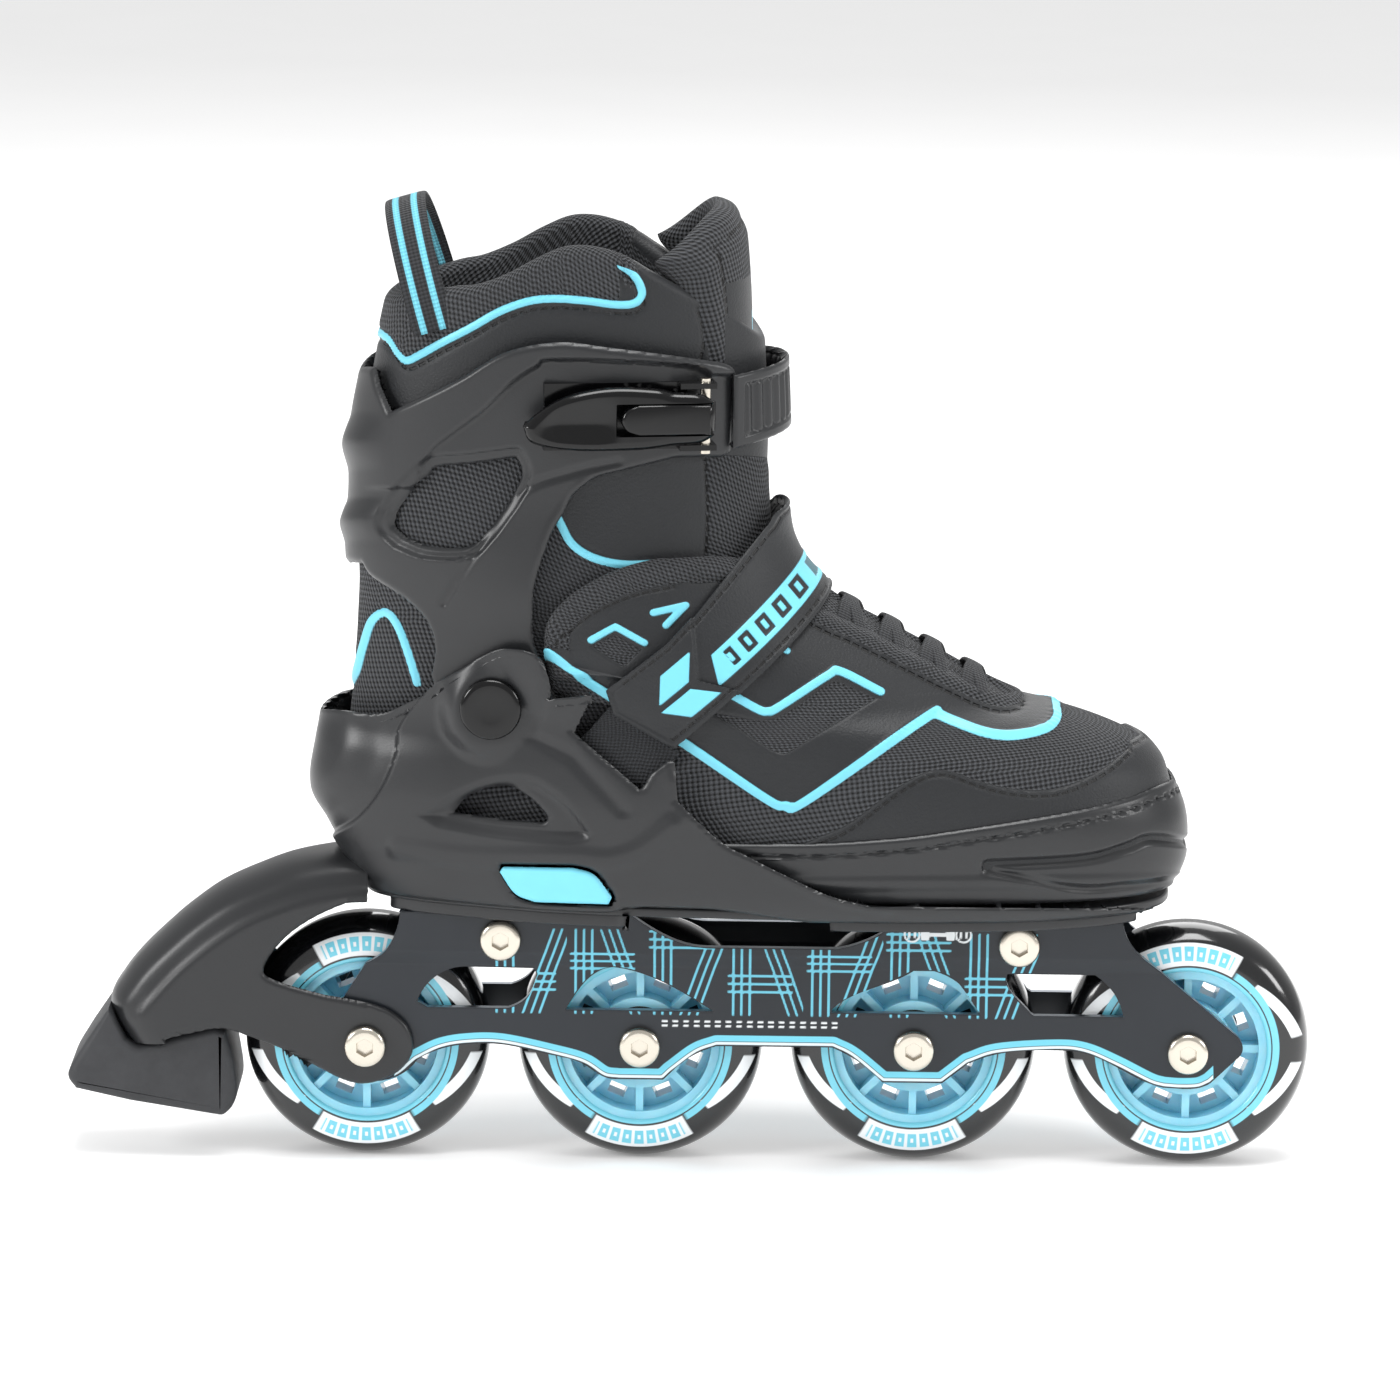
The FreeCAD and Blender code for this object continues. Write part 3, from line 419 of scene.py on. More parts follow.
def moulded_plastic(look):
    # polypropylene from an etched mould: a broad soft sheen, broken by a grain as fine as flour
    made, tree, shader = start_material("polypropylene, etched mould", IOR=1.49)
    base = list(look.plastic)
    shade = add(tree, "Mix", {0: lumps(tree, 30.0), 6: base, 7: [0.82 * c for c in base[:3]] + [1.0]}, **COLOUR_MIX)
    finish_surface(tree, shader, shade, add(tree, "Mix", {0: lumps(tree, 8.0), 2: 0.3, 3: 0.4}),
                   lumps(tree, 0.6, 2.0), 0.06, 0.4)
    return made


def gloss_plastic(look):
    # ABS from a polished mould: a hard clear reflection with faint handling marks
    made, tree, shader = start_material("ABS, polished mould", IOR=1.53, Base_Color=linear("#050506"),
                                         Specular_IOR_Level=0.35)
    finish_surface(tree, shader, None, add(tree, "Mix", {0: lumps(tree, 3.0, 6.0), 2: 0.10, 3: 0.22}),
                   lumps(tree, 12.0), 0.1, 0.15)
    return made


def blue_plastic(look):
    # polyamide dyed through: an even colour and a satin highlight
    made, tree, shader = start_material("polyamide, dyed and moulded", IOR=1.52)
    base = list(look.accent)
    shade = add(tree, "Mix", {0: lumps(tree, 7.0), 6: base, 7: [min(1.0, 1.12 * c) for c in base[:3]] + [1.0]},
                **COLOUR_MIX)
    finish_surface(tree, shader, shade, add(tree, "Mix", {0: lumps(tree, 4.0), 2: 0.3, 3: 0.4}),
                   lumps(tree, 0.6, 2.0), 0.04, 0.3)
    return made


def brake_rubber(look):
    # moulded rubber: dull and slightly grey where it has rubbed
    made, tree, shader = start_material("rubber, moulded", IOR=1.5)
    shade = add(tree, "Mix", {0: lumps(tree, 6.0, 5.0), 6: linear("#242527"), 7: linear("#36373A")}, **COLOUR_MIX)
    finish_surface(tree, shader, shade, add(tree, "Mix", {0: lumps(tree, 2.0), 2: 0.5, 3: 0.7}), lumps(tree, 0.8),
                   0.08, 0.5)
    return made


def plated_steel(look):
    # turned steel with nickel on it: warm bright metal with faint turning marks
    made, tree, shader = start_material("steel, turned and nickel plated", Metallic=1.0,
                                        Base_Color=linear("#D6CFC2"))
    finish_surface(tree, shader, None, add(tree, "Mix", {0: lumps(tree, 4.0), 2: 0.2, 3: 0.28}), lumps(tree, 3.0),
                   0.03, 0.1)
    return made


def bare_aluminium(look):
    # extruded and cut aluminium: grey, a little streaked
    made, tree, shader = start_material("aluminium, extruded", Metallic=1.0, Base_Color=linear("#B9BDC2"))
    finish_surface(tree, shader, None, add(tree, "Mix", {0: lumps(tree, 1.2, 5.0), 2: 0.3, 3: 0.45}),
                   lumps(tree, 0.7), 0.04, 0.2)
    return made


def coated_aluminium(look):
    # stamped aluminium with a dark satin coat; where the blank was cut, the metal shows bright
    made, tree, shader = start_material("aluminium, stamped and coated", IOR=1.5)
    facing = add(tree, "TexCoord", out="Normal")
    facing_y = add(tree, "SeparateXYZ", {0: facing}, out=1)
    side = add(tree, "Math", {0: facing_y}, operation="ABSOLUTE")
    cut = band(tree, side, -1.0, 0.35, 0.1)
    dark = add(tree, "Mix", {0: lumps(tree, 40.0), 6: list(look.plate), 7: linear("#262A30")}, **COLOUR_MIX)
    shade = add(tree, "Mix", {0: cut, 6: dark, 7: linear("#8D949C")}, **COLOUR_MIX)
    finish_surface(tree, shader, shade, add(tree, "Mix", {0: lumps(tree, 4.0), 2: 0.3, 3: 0.4}),
                   lumps(tree, 0.4, 2.0), 0.03, 0.2)
    tree.links.new(add(tree, "Mix", {0: cut, 2: 0.2, 3: 0.9}), shader.inputs["Metallic"])
    return made


def printed_coat(look):
    # the same satin coat with screen print on it: a two-colour line along the lower edge and rows of thin lines
    # that stand in for lettering; edge, word, line and mark are distances in millimetres
    made, tree, shader = start_material("satin coat, screen printed", IOR=1.5, Metallic=0.2)
    dark = add(tree, "Mix", {0: lumps(tree, 40.0), 6: list(look.plate), 7: linear("#262A30")}, **COLOUR_MIX)
    blue, white = list(look.accent), linear("#DDEBF0")
    edge = add(tree, "Attribute", out="Fac", attribute_name="edge")
    word = add(tree, "Attribute", out="Fac", attribute_name="word")
    mark = add(tree, "Attribute", out="Fac", attribute_name="mark")
    shade = add(tree, "Mix", {0: band(tree, edge, 0.5, 1.3), 6: dark, 7: white}, **COLOUR_MIX)
    shade = add(tree, "Mix", {0: band(tree, edge, 1.5, 3.3), 6: shade, 7: blue}, **COLOUR_MIX)
    shade = add(tree, "Mix", {0: band(tree, word, -9.0, 0.0), 6: shade, 7: linear("#6CC0D6")}, **COLOUR_MIX)
    shade = add(tree, "Mix", {0: band(tree, mark, -9.0, 0.0), 6: shade, 7: linear("#E4E8EA")}, **COLOUR_MIX)
    finish_surface(tree, shader, shade, add(tree, "Mix", {0: lumps(tree, 4.0), 2: 0.3, 3: 0.4}),
                   lumps(tree, 0.4, 2.0), 0.03, 0.2)
    return made


def hub_plastic(look):
    # translucent polyamide: light goes a little way in, so thin edges look paler
    made, tree, shader = start_material("polyamide, translucent", IOR=1.5, Roughness=0.22, Subsurface_Weight=0.35,
                                        Transmission_Weight=0.12)
    shader.inputs["Subsurface Radius"].default_value = (0.001, 0.003, 0.004)
    finish_surface(tree, shader,
                   add(tree, "Mix", {0: lumps(tree, 8.0), 6: linear("#7CD3EE"), 7: linear("#B4E9F8")},
                       **COLOUR_MIX))
    return made


def printed_tyre(look):
    # cast urethane, gloss from the mould, with a pad-printed ring: blocks that stand in for lettering at top and
    # bottom and white and blue crescents between; the UV map holds x and z from the axle in millimetres
    made, tree, shader = start_material("urethane, cast and pad printed", IOR=1.5, Coat_Weight=0.5,
                                        Coat_Roughness=0.05)
    x = add(tree, "SeparateXYZ", {0: add(tree, "TexCoord", out="UV")})
    z = x.node.outputs[1]
    radius = add(tree, "VectorMath", {0: add(tree, "CombineXYZ", {0: x, 1: z})}, out=1, operation="LENGTH")
    away = add(tree, "Math", {0: add(tree, "Math", {0: x}, operation="ABSOLUTE"),
                              1: add(tree, "Math", {0: z}, operation="ABSOLUTE")}, operation="ARCTAN2")
    black, white, blue = linear("#0D0E10"), linear("#EEF2F4"), list(look.accent)
    shade = add(tree, "Mix", {0: band(tree, radius, 0.0, 24.6), 6: black, 7: blue}, **COLOUR_MIX)
    slant = add(tree, "Math", {0: away, 1: 9.0, 2: 17.6}, operation="MULTIPLY_ADD")
    ring = band(tree, add(tree, "Math", {0: radius, 1: slant}, operation="SUBTRACT"), 0.0, 3.4)
    ring = add(tree, "Math", {0: ring, 1: band(tree, away, 0.80, 1.45, 0.01)}, operation="MULTIPLY")
    shade = add(tree, "Mix", {0: ring, 6: shade, 7: white}, **COLOUR_MIX)
    inner = band(tree, radius, 25.0, 27.0)
    inner = add(tree, "Math", {0: inner, 1: band(tree, away, 0.55, 1.75, 0.02)}, operation="MULTIPLY")
    shade = add(tree, "Mix", {0: inner, 6: shade, 7: blue}, **COLOUR_MIX)
    words = band(tree, away, -1.0, 0.52, 0.01)
    field_white = add(tree, "Math", {0: words, 1: band(tree, radius, 25.2, 31.8)}, operation="MULTIPLY")
    shade = add(tree, "Mix", {0: field_white, 6: shade, 7: white}, **COLOUR_MIX)
    beat = add(tree, "Math", {0: add(tree, "Math", {0: away, 1: 8.2, 2: 0.5}, operation="MULTIPLY_ADD")},
               operation="FRACT")
    letters = add(tree, "Math", {0: band(tree, beat, 0.14, 0.88, 0.03), 1: band(tree, radius, 26.6, 30.8)},
                  operation="MULTIPLY")
    letters = add(tree, "Math", {0: letters, 1: band(tree, away, -1.0, 0.46, 0.01)}, operation="MULTIPLY")
    hollow = add(tree, "Math", {0: band(tree, beat, 0.38, 0.62, 0.03), 1: band(tree, radius, 28.0, 29.3)},
                 operation="MULTIPLY")
    shade = add(tree, "Mix", {0: letters, 6: shade, 7: blue}, **COLOUR_MIX)
    shade = add(tree, "Mix",
                {0: add(tree, "Math", {0: letters, 1: hollow}, operation="MULTIPLY"), 6: shade,
                 7: white}, **COLOUR_MIX)
    finish_surface(tree, shader, shade, add(tree, "Mix", {0: lumps(tree, 6.0, 5.0), 2: 0.12, 3: 0.22}))
    return made


def boot_cloth(look):
    # synthetic leather with fine pores, spacer mesh with open loops two millimetres apart, herringbone binding,
    # thread in three-millimetre stitches and blue welded film; each is placed by a distance in millimetres
    made, tree, shader = start_material("boot fabrics, sewn and welded", IOR=1.45, Sheen_Weight=0.08)
    leather = add(tree, "Attribute", out="Fac", attribute_name="leather")
    film = add(tree, "Attribute", out="Fac", attribute_name="film")
    seam = add(tree, "Attribute", out="Fac", attribute_name="seam")
    along = add(tree, "Attribute", out="Fac", attribute_name="along")
    open_mesh = band(tree, leather, -999.0, 0.0, 0.12)
    loops = looped(tree, 2.3, 1.9, 0.55)
    # the mesh colour follows the loops' relief: the open holes are dark of themselves and deepened by painted shade,
    # and the pale grey crests are a painted highlight
    mesh_painted_light = add(tree, "Mix", {0: loops, 6: linear("#020203"), 7: linear("#4A4C50")}, **COLOUR_MIX)
    hide = list(look.leather)
    hide_shade = add(tree, "Mix", {0: lumps(tree, 14.0), 6: hide, 7: [0.85 * c for c in hide[:3]] + [1.0]},
                     **COLOUR_MIX)
    shade = add(tree, "Mix", {0: open_mesh, 6: hide_shade, 7: mesh_painted_light}, **COLOUR_MIX)
    pores = add(tree, "Math", {0: lumps(tree, 0.7), 1: 0.18}, operation="MULTIPLY")
    relief = add(tree, "Mix", {0: open_mesh, 2: pores, 3: loops})
    beat = add(tree, "Math", {0: add(tree, "Math", {0: along, 1: 1.0 / 3.0}, operation="MULTIPLY")},
               operation="FRACT")
    thread = add(tree, "Math", {0: band(tree, seam, -1.0, 0.4), 1: band(tree, beat, 0.12, 0.8, 0.05)},
                 operation="MULTIPLY")
    shade = add(tree, "Mix", {0: thread, 6: shade, 7: linear("#0A0A0B")}, **COLOUR_MIX)
    relief = add(tree, "Math", {0: thread, 1: -0.8, 2: relief}, operation="MULTIPLY_ADD")
    weld = band(tree, film, -999.0, 0.0, 0.12)
    shade = add(tree, "Mix", {0: weld, 6: shade, 7: list(look.accent)}, **COLOUR_MIX)
    relief = add(tree, "Mix", {0: weld, 2: relief, 3: 0.5})
    rough = add(tree, "Mix", {0: weld, 2: add(tree, "Mix", {0: open_mesh, 2: 0.5, 3: 0.85}), 3: 0.4})
    finish_surface(tree, shader, shade, rough, relief, 0.9, 1.0)
    return made


def woven_tape(look):
    # polyester webbing: ribs across it a millimetre and a half apart; stripe is the distance from a blue yarn
    made, tree, shader = start_material("polyester webbing, woven", IOR=1.45, Sheen_Weight=0.1, Roughness=0.8)
    stripe = add(tree, "Attribute", out="Fac", attribute_name="stripe")
    weave = looped(tree, 1.6, 1.6, 0.785)
    # the colour follows the weave's relief: painted shade in its furrows and a painted highlight on its ribs, on the
    # black yarn and the blue stripe alike
    shade = add(tree, "Mix", {0: weave, 6: linear("#101113"), 7: linear("#2B2D31")}, **COLOUR_MIX)
    base = list(look.accent)
    blue = add(tree, "Mix", {0: weave, 6: [0.72 * c for c in base[:3]] + [1.0], 7: base}, **COLOUR_MIX)
    finish_surface(tree, shader,
                   add(tree, "Mix", {0: band(tree, stripe, -9.0, 0.0), 6: shade, 7: blue},
                       **COLOUR_MIX), None, weave, 0.35, 0.9)
    return made


def brushed_lining(look):
    # brushed knit: dull and even, with a short nap
    made, tree, shader = start_material("knit lining, brushed", IOR=1.45, Sheen_Weight=0.25, Roughness=0.95)
    finish_surface(tree, shader,
                   add(tree, "Mix", {0: lumps(tree, 0.8), 6: linear("#0C0D0F"), 7: linear("#26282B")},
                       **COLOUR_MIX), None,
                   lumps(tree, 0.8), 0.3, 0.7)
    return made


def studio_paper(look):
    # seamless paper: matt and nearly white
    made, tree, shader = start_material("paper, matt", Roughness=0.95, Emission_Strength=0.2)
    shader.inputs["Emission Color"].default_value = linear("#FFFFFF")
    finish_surface(tree, shader,
                   add(tree, "Mix", {0: lumps(tree, 80.0), 6: linear("#F3F3F3"), 7: linear("#F7F7F7")},
                       **COLOUR_MIX))
    return made


FINISHES = {"plastic": moulded_plastic, "gloss": gloss_plastic, "blue": blue_plastic, "rubber": brake_rubber,
            "steel": plated_steel, "aluminium": bare_aluminium, "plate": coated_aluminium, "print": printed_coat,
            "hub": hub_plastic, "tyre": printed_tyre, "cloth": boot_cloth, "tape": woven_tape,
            "lining": brushed_lining, "paper": studio_paper}
MADE = {}


def dress(piece, finish):
    """Gives a piece one shared finish, made the first time it is asked for."""
    if finish not in MADE:
        MADE[finish] = FINISHES[finish](bpy.context.scene.skate_looks)
    piece.data.materials.clear()
    piece.data.materials.append(MADE[finish])
    return piece


def settle(piece, finish, body, slot, *nodes):
    """Dresses a finished piece, rides it on its body and hides the CAD nodes it stands for; the slot argument is not
    used.
    """
    dress(piece, finish)
    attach(piece, body)
    if nodes:
        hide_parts(*nodes)
    return piece


# ---- pieces: wheels and fasteners
def lathe(name, profile, centre, turns=96, side=1.0):
    """Closed turned piece round the Y axis: each (y, r) of the profile is carried round the centre."""
    angle = np.linspace(0, 2 * np.pi, turns, endpoint=False)
    y, r = np.asarray(profile, float).T
    x = centre[0] + r[:, None] * np.cos(angle)
    z = centre[2] + r[:, None] * np.sin(angle)
    points = np.stack([x, centre[1] + side * y[:, None] + 0 * x, z], axis=-1)
    uv = np.stack([points[..., 0] - centre[0], points[..., 2] - centre[2]], axis=-1)
    return face_outwards(grid_object(name, points, uv=uv, wrap_columns=True))


def tyre_profile(half, inner, outer):
    """Half width falls with radius as (1 - t^3.2)^(1/2.4), t from 0 at the inner radius to 1 at the tread."""
    t = 1 - (1 - np.linspace(0, 1, 40)) ** 1.7
    r = inner + (outer - inner) * t
    y = half * (1 - t ** 3.2) ** (1 / 2.4)
    upper = np.stack([y, r], axis=1)
    return np.vstack([[[half - 1.6, inner - 0.5]], upper, (upper * [-1, 1])[-2::-1], [[1.6 - half, inner - 0.5]]])


def socket_bolt(x, z, face, height, radius, across, side=-1.0):
    """Bolt head: rings from the socket's floor, over the hexagon a / cos(angle from its flat), to the rim."""
    angle = np.linspace(0, 2 * np.pi, 96, endpoint=False)
    flat = (angle + np.pi / 6) % (np.pi / 3) - np.pi / 6
    hexagon = across / np.cos(flat)
    round_ = np.ones_like(angle)
    top = face + height
    rings = [(0 * round_, face + 0.8), (hexagon, face + 0.8), (hexagon, top - 0.25), (hexagon * 1.05, top),
             ((radius - 1.6) * round_, top), ((radius - 0.9) * round_, top - 0.12),
             ((radius - 0.25) * round_, top - 0.6), (radius * round_, top - 1.1), (radius * round_, face),
             (0 * round_, face)]
    r = np.array([ring[0] for ring in rings])
    y = np.array([ring[1] for ring in rings])[:, None] + 0 * r
    return np.stack([x + r * np.cos(angle), side * y, z + r * np.sin(angle)], axis=-1)


def joined(name, grids, wrap=True):
    """One mesh of several closed grids."""
    points, faces, base = [], [], 0
    for grid in grids:
        rows, columns = grid.shape[:2]
        points.append(grid.reshape(-1, 3))
        faces.append(grid_faces(rows, columns, wrap_columns=wrap) + base)
        base += rows * columns
    piece = face_outwards(mesh_object(name, np.vstack(points), np.vstack(faces).tolist()))
    edge = piece.modifiers.new("crisp edges", "EDGE_SPLIT")
    edge.split_angle = math.radians(38)
    return piece


def rounded_plate(name, loop, low, high, radius, place):
    """Closed plate from an outline: its loop is carried along a quarter circle at both faces and closed flat.
    place turns outline coordinates (a, b, depth) into points."""
    tangent = np.roll(loop, -1, axis=0) - np.roll(loop, 1, axis=0)
    normal = np.stack([-tangent[:, 1], tangent[:, 0]], axis=1)
    normal /= np.hypot(normal[:, 0], normal[:, 1])[:, None] + 1e-9
    area = np.sum(loop[:, 0] * np.roll(loop[:, 1], -1) - np.roll(loop[:, 0], -1) * loop[:, 1])
    normal *= 1.0 if area > 0 else -1.0
    turns = np.linspace(0, np.pi / 2, 6)
    inset = np.concatenate([radius * (1 - np.sin(turns)), (radius * (1 - np.sin(turns)))[::-1]])
    depth = np.concatenate([low + radius * (1 - np.cos(turns)), (high - radius * (1 - np.cos(turns)))[::-1]])
    flat = loop[None] + inset[:, None, None] * normal[None]
    count = len(loop)
    points = place(flat[..., 0], flat[..., 1], depth[:, None] + 0 * flat[..., 0]).reshape(-1, 3)
    faces = grid_faces(len(inset), count, wrap_columns=True).tolist()
    faces += [list(range(count)), list(range(count * (len(inset) - 1), count * len(inset)))]
    piece = face_outwards(mesh_object(name, points, faces))
    edge = piece.modifiers.new("crisp edges", "EDGE_SPLIT")
    edge.split_angle = math.radians(35)
    return piece


def upright(a, b, depth):
    """Places an outline that is drawn from the outer side: depth runs outwards."""
    return np.stack([a, -depth, b], axis=-1)


def flat(a, b, depth):
    """Places an outline that is drawn from above: depth runs up."""
    return np.stack([a, b, depth], axis=-1)


def make_tyres(look):
    """Four tyres, each the tyre profile carried round its axle."""
    low, high = node_box("tyre_1")
    half = 0.5 * (high[1] - low[1])
    for n, axle in enumerate(AXLES, 1):
        tyre = lathe("urethane_tyre_%d" % n, tyre_profile(half - 0.1, 23.6, WHEEL_R), (axle[0], 0.0, axle[2]), 160)
        settle(tyre, "tyre", "wheel_%d" % n, "tyre_urethane", "tyre_%d" % n)


def make_bolts(look):
    """Heads of the axle bolts and of the two bolts that hold the frame to the shell."""
    size = (BOLT_HEAD_HEIGHT, BOLT_HEAD_R, BOLT_SOCKET)
    axle_face = PLATE_LOW + PLATE_WALL
    heads = [socket_bolt(x, z, BRAKE_ARM if x < -100 else axle_face, *size) for x, _, z in AXLES]
    settle(joined("axle_bolt_heads", heads), "steel", "chassis", "bright_steel", "axle_bolts")
    heads = [socket_bolt(x, FRAME_BOLT_Z, PLATE_HIGH + PLATE_WALL, *size) for x in FRAME_BOLTS]
    settle(joined("frame_bolt_heads", heads), "steel", "chassis", "bright_steel", "frame_bolts")


# ---- pieces: frame
def frame_outline():
    """Outline of a frame plate from the side, in millimetres."""
    return outline(
        [(100.2, 75.9)], [(101.0, 72.0), (104.3, 66.4)], [(134.5, 41.0)], [(136.0, 37.0), (134.0, 34.0)],
        [(126.8, 27.0)], [(123.3, 25.5), (118.0, 25.2), (113.0, 25.5)],
        [(108.7, 26.8), (98.4, 32.0), (89.6, 35.6), (81.0, 36.3), (64.7, 35.0), (56.0, 32.0)], [(48.5, 26.0)],
        [(31.0, 26.0)], [(22.0, 33.4), (16.3, 36.3)], [(-17.5, 36.3)], [(-23.3, 34.0), (-30.7, 28.3)],
        [(-33.0, 26.0)], [(-46.0, 26.0)],
        [(-50.5, 26.7), (-56.5, 30.5), (-65.5, 33.0), (-80.0, 36.0), (-90.0, 36.0), (-98.0, 34.5), (-105.0, 31.0)],
        [(-112.0, 25.5), (-122.0, 25.0), (-130.0, 31.0), (-131.5, 38.0), (-128.0, 47.0)], [(-120.0, 60.0)],
        [(-113.6, 65.0), (-111.0, 70.3), (-110.0, 75.9)], [(-43.0, 75.9)], [(-38.0, 72.5), (-27.7, 67.5),
                                                                            (-20.4, 66.4)],
        [(17.7, 66.4)], [(28.0, 70.0), (36.0, 75.9)])


def frame_windows():
    """The four openings of a frame plate, one between each pair of arms."""
    return [
        outline([(-102.0, 47.0)], [(-78.5, 47.0)], [(-73.3, 50.0), (-70.2, 57.3)], [(-71.0, 59.0)], [(-90.0, 59.2)],
                [(-96.7, 58.0), (-102.0, 54.0), (-105.0, 48.8)]),
        outline([(-61.6, 46.8)], [(-18.6, 46.8)], [(-30.7, 54.0), (-41.0, 58.3), (-47.5, 59.6)],
                [(-52.5, 58.2), (-57.0, 54.0), (-61.0, 48.0)]),
        outline([(15.8, 46.8)], [(59.0, 46.8)], [(51.5, 57.0), (45.6, 59.6)], [(39.7, 59.6)],
                [(31.0, 55.4), (19.2, 50.3), (16.2, 48.0)]),
        outline([(75.0, 46.6)], [(101.0, 46.6)], [(98.4, 53.2), (92.5, 59.0)], [(67.0, 59.0)],
                [(67.0, 56.0), (70.5, 51.0), (74.0, 47.2)])]


def print_rows(x, z):
    """Distance field of the side print: upright and level bars, three thin lines side by side in each, set like
    an open pattern of blocks along the rail."""
    def lines(d):
        return np.abs((d % 2.4) - 1.2) - 0.36

    u = (x - PRINT_START) % PRINT_PITCH
    k = np.floor((x - PRINT_START) / PRINT_PITCH)
    upright = np.maximum(lines(u - 1.0), np.maximum(u - 8.2, 1.0 - u))
    slanted = u - 13.0 - 0.35 * (z - PRINT_MIDDLE_Z) * np.where(k % 2 == 0, 1.0, -1.0)
    second = np.maximum(lines(slanted), np.abs(slanted - 3.6) - 3.6)
    level = np.where(k % 3 == 0, 51.5, np.where(k % 3 == 1, 58.0, 65.0))
    bars = np.maximum(lines(z - level), np.maximum(np.abs(z - level - 3.6) - 3.6, np.abs(u - 10.0) - 9.5))
    rows = np.minimum(np.minimum(upright, second), bars)
    box = np.maximum(np.abs(x + 4.0) - 80.0, np.abs(z - 58.5) - 13.0)
    return np.maximum(rows, box)


def frame_marks(x, z):
    """Two small rings with a double arrow between them, and a row of short dashes under the rail's print."""
    up = np.abs(z - MARK_Z)
    shaft = np.maximum(np.abs(x - 46.5) - 3.0, up - 0.55)
    tips = np.minimum(up * 1.2 - (x - 41.6), up * 1.2 + (x - 51.4))
    tips = np.maximum(tips, np.maximum(np.abs(np.abs(x - 46.5) - 3.7) - 1.2, up - 1.7))
    beat = x % 3.1
    small = np.maximum(np.maximum(0.5 - beat, beat - 2.3), np.abs(z - DASH_Z) - 1.0)
    small = np.maximum(np.maximum(small, np.abs(x + 8.0) - 26.0), 0.35 - np.abs(z - DASH_Z))
    found = np.minimum(np.minimum(shaft, tips), small)
    for centre in (39.0, 54.0):
        found = np.minimum(found, np.abs(np.hypot(x - centre, z - MARK_Z) - 2.2) - 0.3)
    for centre in (38.2, 39.8, 53.2, 54.8):
        found = np.minimum(found, np.maximum(np.abs(x - centre) - 0.35, up - 1.0))
    return found


def make_frame_print(look):
    """Thin printed coat over each plate's face, cut to the plate: its depth follows the plate's step."""
    x, z = np.meshgrid(np.arange(-132.5, 137.0, 0.5), np.arange(24.5, 76.4, 0.5))
    plate, windows = frame_outline(), frame_windows()
    border = inside(x, z, plate)
    keep = border - 0.35
    for window in windows:
        keep = np.minimum(keep, -inside(x, z, window) - 0.35)
    for cx, _, cz in AXLES:
        keep = np.minimum(keep, np.hypot(x - cx, z - cz) - 5.0)
    for cx in FRAME_BOLTS:
        keep = np.minimum(keep, np.hypot(x - cx, z - FRAME_BOLT_Z) - 5.0)
    lower = np.where((z < 43.0) & (x > -112) & (x < 128), border, 9.0)
    depth = PLATE_LOW + PLATE_WALL + (PLATE_HIGH - PLATE_LOW) * np.clip((z - STEP_LOW) / (STEP_HIGH - STEP_LOW), 0,
                                                                        1)
    fields = {"edge": lower, "word": print_rows(x, z), "mark": frame_marks(x, z)}
    for side, name, columns in ((-1.0, "outer", slice(None)), (1.0, "inner", slice(None, None, -1))):
        points = np.stack([x, side * (depth + 0.12), z], axis=-1)[:, columns]
        coat = trimmed("printed_coat_" + name, points, keep[:, columns],
                       {key: value[:, columns] for key, value in fields.items()})
        thicken(turn_outwards(coat, (0.0, side, 0.0)), 0.1)
        settle(coat, "print", "chassis", "coated_aluminium")
        dress(frame["nodes"]["frame_plate_" + name], "plate")


def turn_outwards(piece, direction):
    """Turns an open skin over if most of it faces away from the direction."""
    normals = np.empty(len(piece.data.polygons) * 3, np.float32)
    piece.data.polygons.foreach_get("normal", normals)
    if float((normals.reshape(-1, 3) @ np.array(direction, np.float32)).sum()) < 0:
        piece.data.flip_normals()
    return piece


# ---- pieces: heel brake
def brake_outline():
    """Outline of the brake housing from the side: fender, arms and the seat of the pad."""
    return outline(
        [(-123.5, 92.0), (-130.5, 91.4), (-142.0, 89.0), (-152.6, 85.0), (-163.0, 80.0), (-172.0, 73.5),
         (-178.6, 67.7), (-186.4, 60.0), (-191.6, 53.4), (-195.5, 46.0)], [(-189.6, 36.5), (-187.0, 34.8)],
        [(-183.8, 35.0), (-176.0, 37.5), (-164.3, 40.3)],
        [(-159.0, 39.7), (-154.0, 38.0), (-143.5, 34.0), (-134.4, 29.3), (-126.6, 25.4), (-120.0, 24.2),
         (-112.3, 26.7), (-107.6, 31.0), (-106.0, 36.0), (-107.7, 41.7), (-112.3, 46.0), (-118.0, 48.3)],
        [(-124.0, 49.5), (-132.0, 50.8)], [(-142.0, 53.4)],
        [(-148.7, 56.0), (-149.6, 58.6), (-147.4, 63.0), (-142.0, 69.0), (-134.4, 74.2), (-125.3, 78.4),
         (-119.0, 80.5)], [(-121.5, 86.0)])


